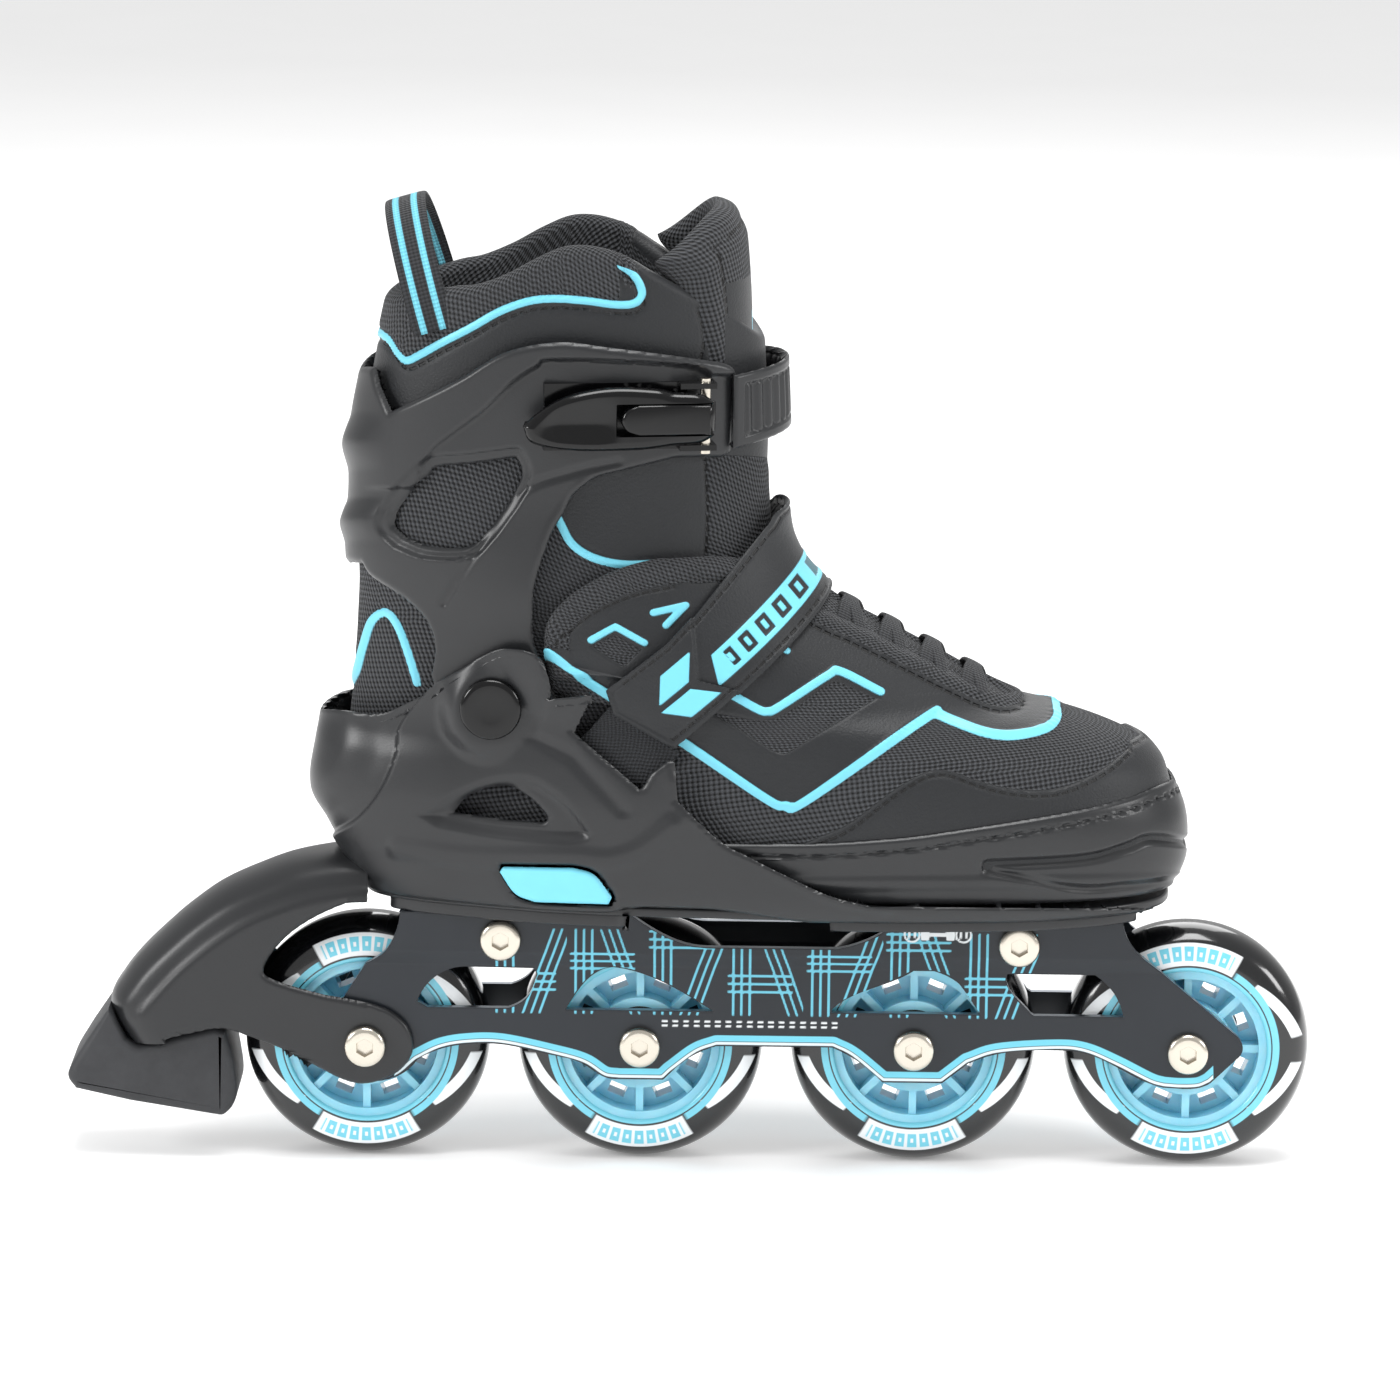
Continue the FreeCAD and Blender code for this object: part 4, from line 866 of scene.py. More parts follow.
def make_brake(look):
    """Brake housing: rays from the axle meet the fender's silhouette; over the crown the half width grows from
    nothing as a squared-off circle, and below it the cheeks run straight down to the arms."""
    cx, _, cz = AXLES[0]
    crown = spline([(-119.0, 91.8), (-123.5, 92.0), (-130.5, 91.4), (-142.0, 89.0), (-152.6, 85.0), (-163.0, 80.0),
                    (-172.0, 73.5), (-178.6, 67.7), (-186.4, 60.0), (-191.6, 53.4), (-195.5, 46.0),
                    (-193.2, 38.5), (-187.0, 32.0), (-170.0, 30.0)], 12)
    bearing = np.arctan2(crown[:, 1] - cz, crown[:, 0] - cx)
    bearing = np.where(bearing < 0, bearing + 2 * np.pi, bearing)
    reach = np.hypot(crown[:, 0] - cx, crown[:, 1] - cz)
    order = np.argsort(bearing)
    turn = np.linspace(np.radians(88.0), np.radians(448.0), 330)
    outer = np.interp(turn, bearing[order], reach[order], right=40.0)
    outer = np.where(turn > bearing.max(), np.maximum(40.0 - 130.0 * (turn - bearing.max()), 18.0), outer)
    on_crown = (turn < bearing.max())
    tau = np.linspace(0, np.pi / 2, 16)
    dome_in, dome_out = 13.0 * (1 - np.cos(tau)), (BRAKE_ARM - 0.4) * np.sin(tau) ** 0.8
    t = np.linspace(0, 1, 48)[1:]
    r = np.empty((turn.size, tau.size + t.size))
    y = np.empty_like(r)
    r[:, :tau.size] = outer[:, None] - np.where(on_crown, 1.0, 0.0)[:, None] * dome_in[None]
    y[:, :tau.size] = np.where(on_crown[:, None], dome_out[None], BRAKE_ARM - 0.4)
    start = r[:, tau.size - 1]
    r[:, tau.size:] = start[:, None] + (5.4 - start)[:, None] * t[None]
    y[:, tau.size:] = BRAKE_ARM - 0.4
    x, z = cx + r * np.cos(turn)[:, None], cz + r * np.sin(turn)[:, None]
    keep = inside(x, z, brake_outline())
    top = (np.arange(r.shape[1])[None, :] < tau.size) & on_crown[:, None]
    front = -(x + 119.5)
    floor_gap = (z - (35.2 + 0.11 * (x + 183.0)))
    keep = np.where(top, np.minimum(np.minimum(front, floor_gap), np.maximum(keep, 2.0)), keep)
    sweep, _ = line_distance(x, z, spline([(-186.0, 45.0), (-172.0, 60.0), (-156.5, 71.6), (-137.0, 80.0),
                                           (-119.0, 83.0)]))
    dish = 1.1 * step(sweep, -1.2, 1.2) * step(r, 5.0, 20.0) * step(y, 15.0, 19.0)
    rim = rounded_edge(np.where(top, 9.0, keep), 1.4)
    side = np.maximum(y - dish + rim, 0.0)
    both = []
    for sign in (-1.0, 1.0):
        points = np.stack([x, sign * side, z], axis=-1)
        half = trimmed("half", points, keep)
        both.append(half)
    housing = merge(both, "brake_fender")
    walled(housing, (cx - 30.0, 0.0, cz), 2.6)
    settle(housing, "plastic", "chassis", "moulded_plastic", "brake_housing")


def make_brake_pad(look):
    """Pad: a block of rubber with rounded edges, from its side outline."""
    loop = outline([(-195.3, 45.0)], [(-202.0, 35.0)], [(-206.5, 27.4), (-207.2, 24.0), (-205.0, 20.8)],
                   [(-189.0, 17.3)], [(-164.3, 13.4)],
                   [(-161.7, 13.4), (-159.0, 16.3), (-157.8, 21.0), (-159.0, 30.0), (-161.0, 38.9)],
                   [(-164.3, 39.9)], [(-176.0, 37.0), (-183.8, 34.4), (-187.0, 34.2), (-190.2, 36.0)])
    pad = rounded_plate("brake_block", loop, -16.0, 16.0, 2.4, upright)
    settle(pad, "rubber", "chassis", "brake_rubber", "brake_pad")


def merge(parts, name):
    """One object of several meshes."""
    work = bmesh.new()
    for part in parts:
        work.from_mesh(part.data)
        mesh = part.data
        bpy.data.objects.remove(part)
        bpy.data.meshes.remove(mesh)
    bmesh.ops.remove_doubles(work, verts=work.verts, dist=2e-5)
    mesh = bpy.data.meshes.new(name)
    work.to_mesh(mesh)
    work.free()
    mesh.polygons.foreach_set("use_smooth", np.ones(len(mesh.polygons), bool))
    piece = bpy.data.objects.new(name, mesh)
    bpy.context.scene.collection.objects.link(piece)
    return piece


def turn_by_point(piece, centre):
    """Turns an open skin over if most of it faces the point instead of away from it."""
    count = len(piece.data.polygons)
    normals, middles = np.empty(count * 3, np.float32), np.empty(count * 3, np.float32)
    piece.data.polygons.foreach_get("normal", normals)
    piece.data.polygons.foreach_get("center", middles)
    away = middles.reshape(-1, 3) - np.array(centre, np.float32) * MM
    if float((normals.reshape(-1, 3) * away).sum()) < 0:
        piece.data.flip_normals()
    return piece


# ---- pieces: boot
VIEW_SLOPE = 0.2055


def drawn_height(points, plane=42.0):
    """Height at which the side outlines below are drawn: they lie on a plane beside the boot, on a slope."""
    return points[..., 2] + (plane - np.abs(points[..., 1])) * VIEW_SLOPE


def skin_grid(low, high, rows, columns, offset, flare=0.0):
    """Even grid over the form between two levels, from the front round the heel: turn, level and points."""
    turn = np.linspace(np.pi, -np.pi, columns)[None, :] + np.zeros((rows, 1))
    level = np.linspace(low, high, rows)[:, None] + np.zeros((1, columns))
    return turn, level, boot_surface(turn, level, offset, flare)


def groove(x, z, path, half, depth):
    """Furrow of a smooth section along a path."""
    d, _ = line_distance(x, z, np.asarray(path, float))
    return -depth * (1.0 - step(np.abs(d), 0.0, half))


def cloth_fields(x, z, leather, films, seams):
    """Fields of the boot fabrics: least distance to a film's edge and to a seam, and the run along that seam."""
    film = np.full(x.shape, 99.0)
    for path, half in films:
        film = np.minimum(film, np.abs(line_distance(x, z, path)[0]) - half)
    seam, along = np.full(x.shape, 99.0), np.zeros(x.shape)
    for path in seams:
        d, run = line_distance(x, z, path)
        along = np.where(np.abs(d) < seam, run, along)
        seam = np.minimum(seam, np.abs(d))
    return {"leather": leather, "film": film, "seam": seam, "along": along}


def plan_loop(level, count, offset, flare, rear, front):
    """The form's outline from above at one level, its x held between rear and front."""
    ring = boot_surface(np.linspace(-np.pi, np.pi, count, endpoint=False), np.full(count, level), offset, flare)
    return np.stack([np.clip(ring[:, 0], rear, front), ring[:, 1]], axis=1)


def walled(skin, middle, wall):
    """Gives a cut skin its direction, out from a point in its middle, and its wall."""
    face_outwards(skin)
    turn_by_point(skin, middle)
    return thicken(skin, wall)


def make_shell(look):
    """Moulded shell: the boot's form pushed out, cut to its side outline, with its vents and creases pressed in."""
    turn, level, base = skin_grid(76.0, 164.0, 170, 560, SHELL_OFFSET, SHELL_FLARE)
    x, z = base[..., 0], drawn_height(base)
    rim = outline(
        [(-160.0, 80.0)], [(-160.0, 141.5)], [(-129.0, 141.5)],
        [(-119.4, 141.0), (-107.7, 145.7), (-96.0, 151.6), (-84.2, 158.5), (-78.0, 159.8), (-70.3, 158.0),
         (-67.2, 152.0), (-66.6, 145.2)],
        [(-54.3, 146.5)], [(-59.7, 135.6)], [(-39.9, 118.2)], [(-37.3, 123.3)], [(-32.5, 127.4)], [(-30.3, 127.0)],
        [(-29.3, 115.0)], [(-17.0, 103.4), (-8.5, 98.8), (2.2, 93.5), (15.0, 87.6), (27.0, 84.6)],
        [(150.0, 84.6)], [(150.0, 78.0)])
    keep = inside(x, z, rim)
    bottom = 84.0 + 2.6 * step(x, -52, -38) - 4.4 * step(x, -24, 16)
    keep = np.minimum(keep, base[..., 2] - np.maximum(bottom - 3.6, 79.0))
    vent = inside(x, z, outline([(-91.7, 115.3), (-85.3, 118.3), (-80.0, 119.4)],
                                [(-76.7, 118.0), (-71.4, 113.7),
                                 (-67.7, 109.3)], [(-68.7, 107.7)], [(-81.0, 108.4)],
                                [(-96.0, 110.4)]))
    pocket = inside(x, z,
                    outline([(-105.0, 110.0)], [(-99.0, 113.2), (-91.7, 117.5), (-82.0, 121.2), (-72.5, 121.7),
                                                      (-66.0, 118.5), (-59.7, 113.2), (-53.8, 105.7)],
                                  [(-54.3, 103.0)], [(-61.8, 102.3), (-81.0, 103.4), (-99.0, 106.3)]))
    keep = np.minimum(keep, -vent)
    button = inside(x, z, button_loop(0.7))
    keep = np.where(base[..., 1] < 0, np.minimum(keep, -button), keep)
    relief = -2.0 * step(pocket, -0.4, 3.2)
    relief += rounded_edge(np.maximum(keep, 0.0), 1.5)
    crease = [(-101.3, 147.3), (-109.8, 136.7), (-111.0, 128.0), (-115.0, 117.5), (-122.0, 108.5), (-131.0, 103.0)]
    d, _ = line_distance(x, z, spline(crease))
    relief += -1.6 * step(-d, -0.5, 1.6) * (1 - step(np.abs(d), 6.0, 16.0))
    flank, _ = line_distance(x, z,
                             spline([(-28.7, 121.0), (-24.0, 112.5), (-7.4, 101.5), (9.7, 92.0), (30.0, 86.0)]))
    front = 1 - step(np.abs(flank), 0.0, 5.5)
    relief += 1.3 * front * step(x, -36.0, -24.0)
    blade, _ = line_distance(x, z, spline([(-110.0, 100.0), (-88.0, 97.5), (-60.0, 98.0), (-49.0, 97.2),
                                           (-39.4, 100.4), (-30.0, 108.0)]))
    relief += 1.1 * (1 - step(np.abs(blade), 0.0, 5.0))
    slot = (1 - step(np.abs(line_distance(x, z, np.array([(-66.0, 150.0), (-72.0, 134.0), (-60.0, 128.0),
                                                          (-45.0, 112.0)]))[0]), 0.0, 3.0))
    relief -= 0.7 * slot
    points = boot_surface(turn, level, SHELL_OFFSET + relief, SHELL_FLARE)
    ear = np.hypot(points[..., 0] - PIVOT[0], drawn_height(points) - PIVOT[2])
    seat = CAP_FACE - 2.9
    lift = np.maximum(seat - np.abs(points[..., 1]), -1.0)
    points[..., 1] += np.sign(points[..., 1]) * lift * (1 - step(ear, 9.6, 17.0))
    shell = trimmed("moulded_shell", points, keep)
    walled(shell, (-30.0, 0.0, 110.0), look.shell_wall / MM)
    settle(shell, "plastic", "chassis", "moulded_plastic", "shell")


def make_sole(look):
    """Sole: three trays with the form's outline, one over the other, and two keels that sit in the frame."""
    trays = []
    for low, high, x0, x1, offset in ((79.6, 82.6, -200.0, 200.0, 5.6), (76.0, 80.2, -113.0, -44.0, 4.5),
                                      (76.0, 80.2, 15.0, 104.0, 3.0)):
        loop = plan_loop(82.0, 160, offset, SHELL_FLARE, x0, x1)
        trays.append(rounded_plate("tray", loop, low, high, 0.9, flat))
    for x0, x1 in ((-93.5, -68.0), (63.5, 93.0)):
        loop = outline([(x0, -15.3)], [(x1, -15.3)], [(x1, 15.3)], [(x0, 15.3)])
        trays.append(rounded_plate("keel", loop, 65.4, 76.6, 0.6, flat))
    base = merge(trays, "shell_sole")
    settle(base, "plastic", "chassis", "moulded_plastic", "shell")


def make_pivot_caps(look):
    """Two domed caps, a profile carried round the cuff's pivot."""
    profile = [(0.0, 0.0), (0.0, 8.85), (1.4, 8.85), (2.0, 8.6), (2.4, 8.0), (2.55, 7.0), (2.3, 4.0), (2.2, 0.0)]
    caps = [lathe("cap", profile, (PIVOT[0], side * (CAP_FACE - 2.6), PIVOT[2]), 72, side) for side in (-1, 1)]
    settle(merge(caps, "pivot_cap_pair"), "gloss", "chassis", "gloss_black_plastic", "pivot_caps")


def button_loop(grow):
    """Outline of the size button, grown on every side."""
    g = grow
    return outline([(-79.5 - g, 95.0 + g)], [(-59.0, 95.0 + g)], [(-53.0, 93.0 + g), (-48.0 + g, 86.5)],
                   [(-49.0 + g, 84.3 - g)], [(-70.3, 84.6 - g)], [(-76.0 - g, 87.0 - g), (-80.5 - g, 93.5)])


def make_button(look):
    """Size button: the shell's surface inside its outline, domed by its distance from the edge."""
    turn, level, base = skin_grid(78.0, 98.0, 90, 1500, SHELL_OFFSET, SHELL_FLARE)
    pick = slice(760, 1300)
    turn, level, base = turn[:, pick], level[:, pick], base[:, pick]
    keep = inside(base[..., 0], drawn_height(base), button_loop(0.0))
    keep = np.where(base[..., 1] < 0, keep, -9.0)
    relief = 0.9 + rounded_edge(np.maximum(keep, 0.0), 1.4)
    button = trimmed("size_push_button", boot_surface(turn, level, SHELL_OFFSET + relief, SHELL_FLARE), keep)
    turn_outwards(button, (0.0, -1.0, 0.0))
    thicken(button, 2.0)
    settle(button, "blue", "button", "blue_plastic", "size_button")


def make_toe_cap(look):
    """Toe cap: low moulded rim round the front, with a furrow under its top edge and blades in its side."""
    turn, level, base = skin_grid(81.0, 121.0, 110, 620, CAP_OFFSET)
    x, z = base[..., 0], drawn_height(base)
    top = spline([(-60.0, 102.0), (-10.0, 102.5), (13.3, 103.0), (36.7, 105.0), (54.2, 107.7), (71.7, 110.7),
                  (89.2, 114.2), (102.0, 117.7), (110.0, 121.0), (135.0, 131.0)])
    under = np.interp(x, top[:, 0], top[:, 1]) - z
    keep = np.minimum(np.minimum(under, base[..., 2] - 84.6), x + 26.0)
    relief = rounded_edge(np.maximum(keep, 0.0), 1.2)
    relief -= 0.9 * (1 - step(np.abs(under - 3.6), 0.0, 1.1))
    stitch = (np.abs(under - 3.6) < 0.7) & ((turn * 46.0) % 3.4 < 2.2)
    relief += 0.6 * stitch
    relief += groove(x, z, spline([(60.0, 97.5), (88.0, 99.5), (100.8, 103.0), (108.0, 105.5), (122.0, 104.0)]),
                     2.4, 1.6)
    relief += groove(x, z, spline([(60.0, 95.8), (85.7, 90.8), (100.0, 91.5), (118.0, 93.5)]), 2.0, 1.3)
    relief += 0.8 * (1 - step(np.abs(z - 91.0 - 0.02 * x), 0.0, 3.0))
    cap = trimmed("toe_bumper", boot_surface(turn, level, CAP_OFFSET + relief), keep)
    walled(cap, (30.0, 0.0, 100.0), look.toe_wall / MM)
    loop = plan_loop(87.0, 180, 4.6, 0.0, -28.0, np.inf)
    floor = rounded_plate("toe_floor", loop, 86.0, 88.0, 0.5, flat)
    settle(cap, "plastic", "toe_part", "moulded_plastic", "toe_cap")
    settle(floor, "plastic", "toe_part", "moulded_plastic", "toe_cap")


def make_vamp(look):
    """Forefoot upper: one skin of the boot's form with welded film lines, mesh windows, a bound edge and a rand."""
    turn, level, base = skin_grid(88.0, 184.0, 230, 620, VAMP_OFFSET)
    x, z = base[..., 0], drawn_height(base)
    edge = outline([(-47.5, 88.0)], [(-47.5, 143.0)], [(-66.0, 147.0)],
                   [(-68.2, 160.0), (-66.5, 168.7), (-58.7, 176.4), (-47.0, 182.5), (-34.0, 186.0), (-20.0, 187.0)],
                   [(0.0, 186.0)], [(150.0, 186.0)], [(150.0, 88.0)])
    keep = inside(x, z, edge)
    bound = keep
    main = spline([(-70.0, 159.0), (-52.0, 147.3), (-29.0, 132.8), (-3.8, 116.0), (1.8, 114.2), (7.5, 115.6),
                   (41.3, 139.8), (44.8, 141.2), (48.3, 139.8), (57.7, 136.3), (64.7, 135.2), (71.7, 136.0),
                   (77.5, 138.0), (80.0, 141.0), (80.0, 144.3)])
    second = spline([(-15.8, 147.0), (-6.5, 141.8), (-3.6, 141.2), (-0.7, 142.4), (13.3, 152.0), (16.8, 153.2),
                     (28.5, 147.4)])
    chevron = np.array([(-54.3, 161.4), (-47.4, 165.4), (-39.0, 160.7)])
    triangle = np.array([(-36.7, 169.7), (-27.7, 172.0), (-33.0, 166.0)])
    stub = np.array([(-6.0, 164.0), (1.5, 159.0)])
    rand_line = spline([(-30.0, 100.0), (0.0, 101.5), (13.3, 106.0), (20.3, 109.5), (30.8, 117.7), (39.0, 123.0),
                        (43.7, 124.7), (48.3, 124.7), (55.3, 122.3), (64.7, 120.0), (75.2, 119.4), (83.3, 121.2),
                        (92.7, 125.8), (100.3, 131.7), (103.0, 135.0), (135.0, 150.0)])
    main_height = np.interp(x, main[:, 0], main[:, 1], right=170.0)
    rand = np.interp(x, rand_line[:, 0], rand_line[:, 1]) - z
    lower_mesh = main_height - z
    window = inside(x, z, outline([(-19.9, 141.0)], [(-6.5, 138.7)], [(0.5, 140.4), (13.3, 149.7), (16.8, 150.3)],
                                  [(27.3, 145.7)], [(6.3, 132.2), (1.7, 129.3), (-1.8, 129.9)]))
    window = np.maximum(window, inside(x, z, outline([(-54.3, 160.0)], [(-47.4, 163.4)], [(-40.0, 159.0)],
                                                     [(-45.0, 154.0)])))
    leather = -lower_mesh
    leather = np.maximum(leather, rand)
    leather = np.minimum(leather, -window)
    throat_low = spline([(-6.0, 178.0), (9.8, 167.8), (20.3, 163.2), (36.7, 155.0), (48.3, 149.2), (57.7, 145.0),
                         (64.7, 143.6), (69.3, 145.0), (72.0, 150.0)])
    throat_high = spline([(-6.0, 188.0), (13.3, 176.0), (25.0, 167.8), (36.7, 161.4), (48.3, 155.0), (57.7, 149.7),
                          (64.7, 146.8), (70.0, 149.0)])
    over_low = z - np.interp(x, throat_low[:, 0], throat_low[:, 1], left=300, right=300)
    over_high = z - np.interp(x, throat_high[:, 0], throat_high[:, 1], left=300, right=300)
    leather = np.where(over_low > -0.5, -over_low - 0.5, leather)
    binding = 8.0 - bound
    leather = np.where((binding > 0) & (x < -10) & (z > 158), -binding, leather)
    seams = [np.stack([rand_line[:, 0], rand_line[:, 1] - 1.8], axis=1), throat_low - [0.0, 1.6],
             spline([(-64.0, 158.5), (-62.0, 162.5), (-54.0, 169.3), (-43.0, 174.6), (-31.0, 177.6)])]
    films = [(main, 1.3), (second, 1.25), (chevron, 1.0), (triangle, 1.1), (stub, 1.0)]
    fields = cloth_fields(x, z, leather, films, seams)
    relief = 0.55 * step(-fields["film"], -0.3, 0.5) + 0.9 * step(rand, -0.5, 0.8)
    relief += 0.5 * step(leather, -0.5, 0.7) - 0.25 * step(window, -0.3, 0.8)
    relief += 1.3 * np.sin(np.pi * np.clip((over_low + 1.2) / 6.5, 0, 1)) * (x > 6.0)
    relief -= 1.8 * step(over_high, 0.0, 2.0) * step(x, 4.0, 14.0)
    relief += 2.0 * np.sin(np.pi * np.clip(bound / 8.0, 0, 1)) * (z > 150) * (x < -12)
    relief -= 0.35 * (1 - step(np.abs(fields["seam"]), 0.2, 1.1))
    relief += rounded_edge(np.maximum(keep, 0.0), 1.2)
    points = boot_surface(turn, level, VAMP_OFFSET + relief)
    vamp = trimmed("forefoot_upper", points, keep, fields, row_lengths(points))
    turn_by_point(vamp, (0.0, 0.0, 110.0))
    thicken(vamp, look.upper_thickness / MM)
    settle(vamp, "cloth", "toe_part", "upper_leather", "toe_upper")


def make_laces(look):
    """Four crossed pairs of flat laces, each arched over the throat."""
    bars = []
    for x0, z0 in ((20.0, 165.5), (32.0, 159.4), (44.0, 153.2), (56.0, 146.5)):
        for lean in (-0.16, 0.16):
            across = np.linspace(-15.0, 15.0, 41)
            path = np.stack([x0 + lean * across, across, z0 + 1.3 - across ** 2 / 44.0 - 0.5 * lean * across],
                            axis=1)
            bars.append(tube(path, 2.3, 0.7, (0.45, 0.0, 0.9)))
    lace = tubes("lace_rows", bars)
    settle(lace, "tape", "toe_part", "webbing", "laces")


def tube(path, half_wide, half_thick, up):
    """Flat-oval section carried along a path; returns rings of points, closed at both ends to a point."""
    along = np.gradient(path, axis=0)
    along /= np.linalg.norm(along, axis=1, keepdims=True)
    up = np.asarray(up, float)
    side = np.cross(along, up)
    side /= np.linalg.norm(side, axis=1, keepdims=True)
    top = np.cross(side, along)
    a = np.linspace(0, 2 * np.pi, 20, endpoint=False)
    c, s = np.cos(a), np.sin(a)
    u = np.sign(c) * np.abs(c) ** 0.6 * half_wide
    v = np.sign(s) * np.abs(s) ** 0.6 * half_thick
    return carried(path, side, top, u, v)


def carried(path, side, top, u, v):
    """Rings of a section (u along side, v along top) at each point of a path, closed at both ends to a point, and
    their UV map: u across and the length run along."""
    rings = path[:, None] + side[:, None] * u[None, :, None] + top[:, None] * v[None, :, None]
    ends = [np.repeat(end[None, None], len(u), axis=1) for end in (path[0], path[-1])]
    run = np.concatenate([[0.0], np.cumsum(np.linalg.norm(np.diff(path, axis=0), axis=1))])
    run = np.concatenate([[0.0], run, [run[-1]]])
    uv = np.stack([u[None] + 0 * run[:, None], run[:, None] + 0 * u[None]], axis=-1)
    return np.concatenate([ends[0], rings, ends[1]]), uv


def tubes(name, parts, stripe=None):
    """One mesh of several carried sections; stripe gives the distance from a coloured yarn by u."""
    points, faces, uvs, base = [], [], [], 0
    for rings, uv in parts:
        rows, columns = rings.shape[:2]
        points.append(rings.reshape(-1, 3))
        uvs.append(uv.reshape(-1, 2))
        faces.append(grid_faces(rows, columns, wrap_columns=True) + base)
        base += rows * columns
    uv = np.vstack(uvs)
    values = np.full(len(uv), 9.0) if stripe is None else stripe(uv[:, 0])
    return face_outwards(mesh_object(name, np.vstack(points), np.vstack(faces).tolist(), {"stripe": values}, uv))


def make_sock(look):
    """Ankle sock: the boot's form carried up to the collar's edge, rolled over it on a half circle and taken back
    down inside; it is left where it is built and rides on no body."""
    columns, roll = 540, 3.6
    turn = np.linspace(np.pi, -np.pi, columns)
    lean = boot_surface(turn, np.full(columns, 262.0), 0.0)
    edge = spline([(-125.0, 250.0), (-118.0, 253.0), (-112.0, 257.0), (-97.0, 261.0), (-89.5, 262.2),
                   (-81.0, 265.5),
                   (-72.5, 270.0), (-64.0, 273.4), (-56.5, 274.0), (-49.0, 272.8), (-42.6, 270.5), (-36.0, 266.5),
                   (-27.7, 261.5), (-19.0, 256.0), (-12.0, 250.0), (-5.0, 242.0)])
    top = np.interp(lean[:, 0], edge[:, 0], edge[:, 1]) - roll
    share = np.linspace(0, 1, 200)[:, None]
    level = 96.0 + (top[None] - 96.0) * share
    outer_turn = turn[None] + 0 * level
    base = boot_surface(outer_turn, level, SOCK_OFFSET)
    x, z = base[..., 0], drawn_height(base, 40.0)
    blue = spline([(-119.0, 252.6), (-116.7, 251.0), (-113.5, 248.4), (-111.0, 244.5), (-108.2, 242.3),
                   (-104.0, 244.0), (-98.0, 247.2), (-89.5, 251.5), (-81.0, 256.3), (-72.5, 259.3), (-65.0, 260.0),
                   (-56.5, 259.5), (-49.0, 258.6), (-43.7, 258.8), (-41.0, 260.8), (-41.2, 264.0), (-43.5, 267.5),
                   (-47.0, 270.0)])
    ankle = spline([(-66.0, 200.0), (-63.4, 195.0), (-60.7, 190.0), (-56.5, 186.6), (-51.0, 184.5), (-44.7, 183.6),
                    (-36.7, 183.9)])
    arc = spline([(-126.5, 147.0), (-123.7, 151.6), (-121.5, 159.0), (-119.0, 166.0), (-115.7, 168.9),
                  (-113.0, 168.2), (-110.3, 164.0), (-107.7, 157.0), (-105.0, 148.4)])
    rear_first = blue[np.argsort(blue[:, 0])]
    band_top = np.interp(x, rear_first[:, 0], rear_first[:, 1])
    collar_mesh = np.minimum(z - band_top, -(x + 42.0))
    heel_mesh = inside(x, z, np.vstack([arc, [(-105.0, 140.0)], [(-126.0, 140.0)]]))
    ankle_mesh = np.minimum(np.interp(x, ankle[:, 0], ankle[:, 1]) - z, 30.0)
    front_mesh = np.minimum(x + 22.0, 216.0 - z)
    window_mesh = np.minimum(np.minimum(x + 116.0, -72.0 - x), np.minimum(z - 183.0, 217.0 - z))
    leather = -np.maximum.reduce([collar_mesh, heel_mesh, ankle_mesh, front_mesh, window_mesh])
    seams = [blue + [0.6, -2.6], spline([(-22.0, 184.0), (-21.5, 200.0), (-22.5, 216.0)]),
             spline([(-24.0, 243.0), (-23.0, 250.0), (-25.0, 258.0)])]
    fields = cloth_fields(x, z, leather, [(blue, 1.15), (ankle, 1.2), (arc, 1.2)], seams)
    puff = 0.7 * step(collar_mesh, 0.0, 4.0) + 0.5 * step(window_mesh, 0.0, 9.0) + 0.6 * step(front_mesh, 0.0, 5.0)
    relief = puff - 0.35 * (1 - step(np.abs(fields["film"]), 0.0, 0.9))
    relief += 0.6 * step(-fields["film"], -0.2, 0.5) - 0.4 * (1 - step(fields["seam"], 0.2, 1.2))
    outer = boot_surface(outer_turn, level, SOCK_OFFSET + relief)
    a = np.linspace(0, np.pi, 16)[1:, None]
    lip = boot_surface(turn[None] + 0 * a, top[None] + roll * np.sin(a) + 0 * a,
                       SOCK_OFFSET + relief[-1][None] - roll * (1 - np.cos(a)))
    down = np.linspace(0, 1, 36)[1:, None]
    inner = boot_surface(turn[None] + 0 * down, top[None] + (97.0 - top[None]) * down, LINING_OFFSET + 0 * down)
    points = np.concatenate([outer, lip, inner])
    extra = len(lip) + len(inner)
    fill = {"leather": -9.0, "film": 99.0, "seam": 99.0, "along": 0.0}
    fields = {key: np.concatenate([value, np.full((extra, columns), fill[key])]) for key, value in fields.items()}
    fields["leather"][len(outer):len(outer) + len(lip)] = fields["leather"][len(outer) - 1]
    uv = row_lengths(points)
    sock = grid_object("ankle_sock", points, fields, uv, wrap_rows=True)
    face_outwards(sock)
    dress(sock, "cloth")
    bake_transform(sock)
    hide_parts("heel_liner", "ankle_collar")


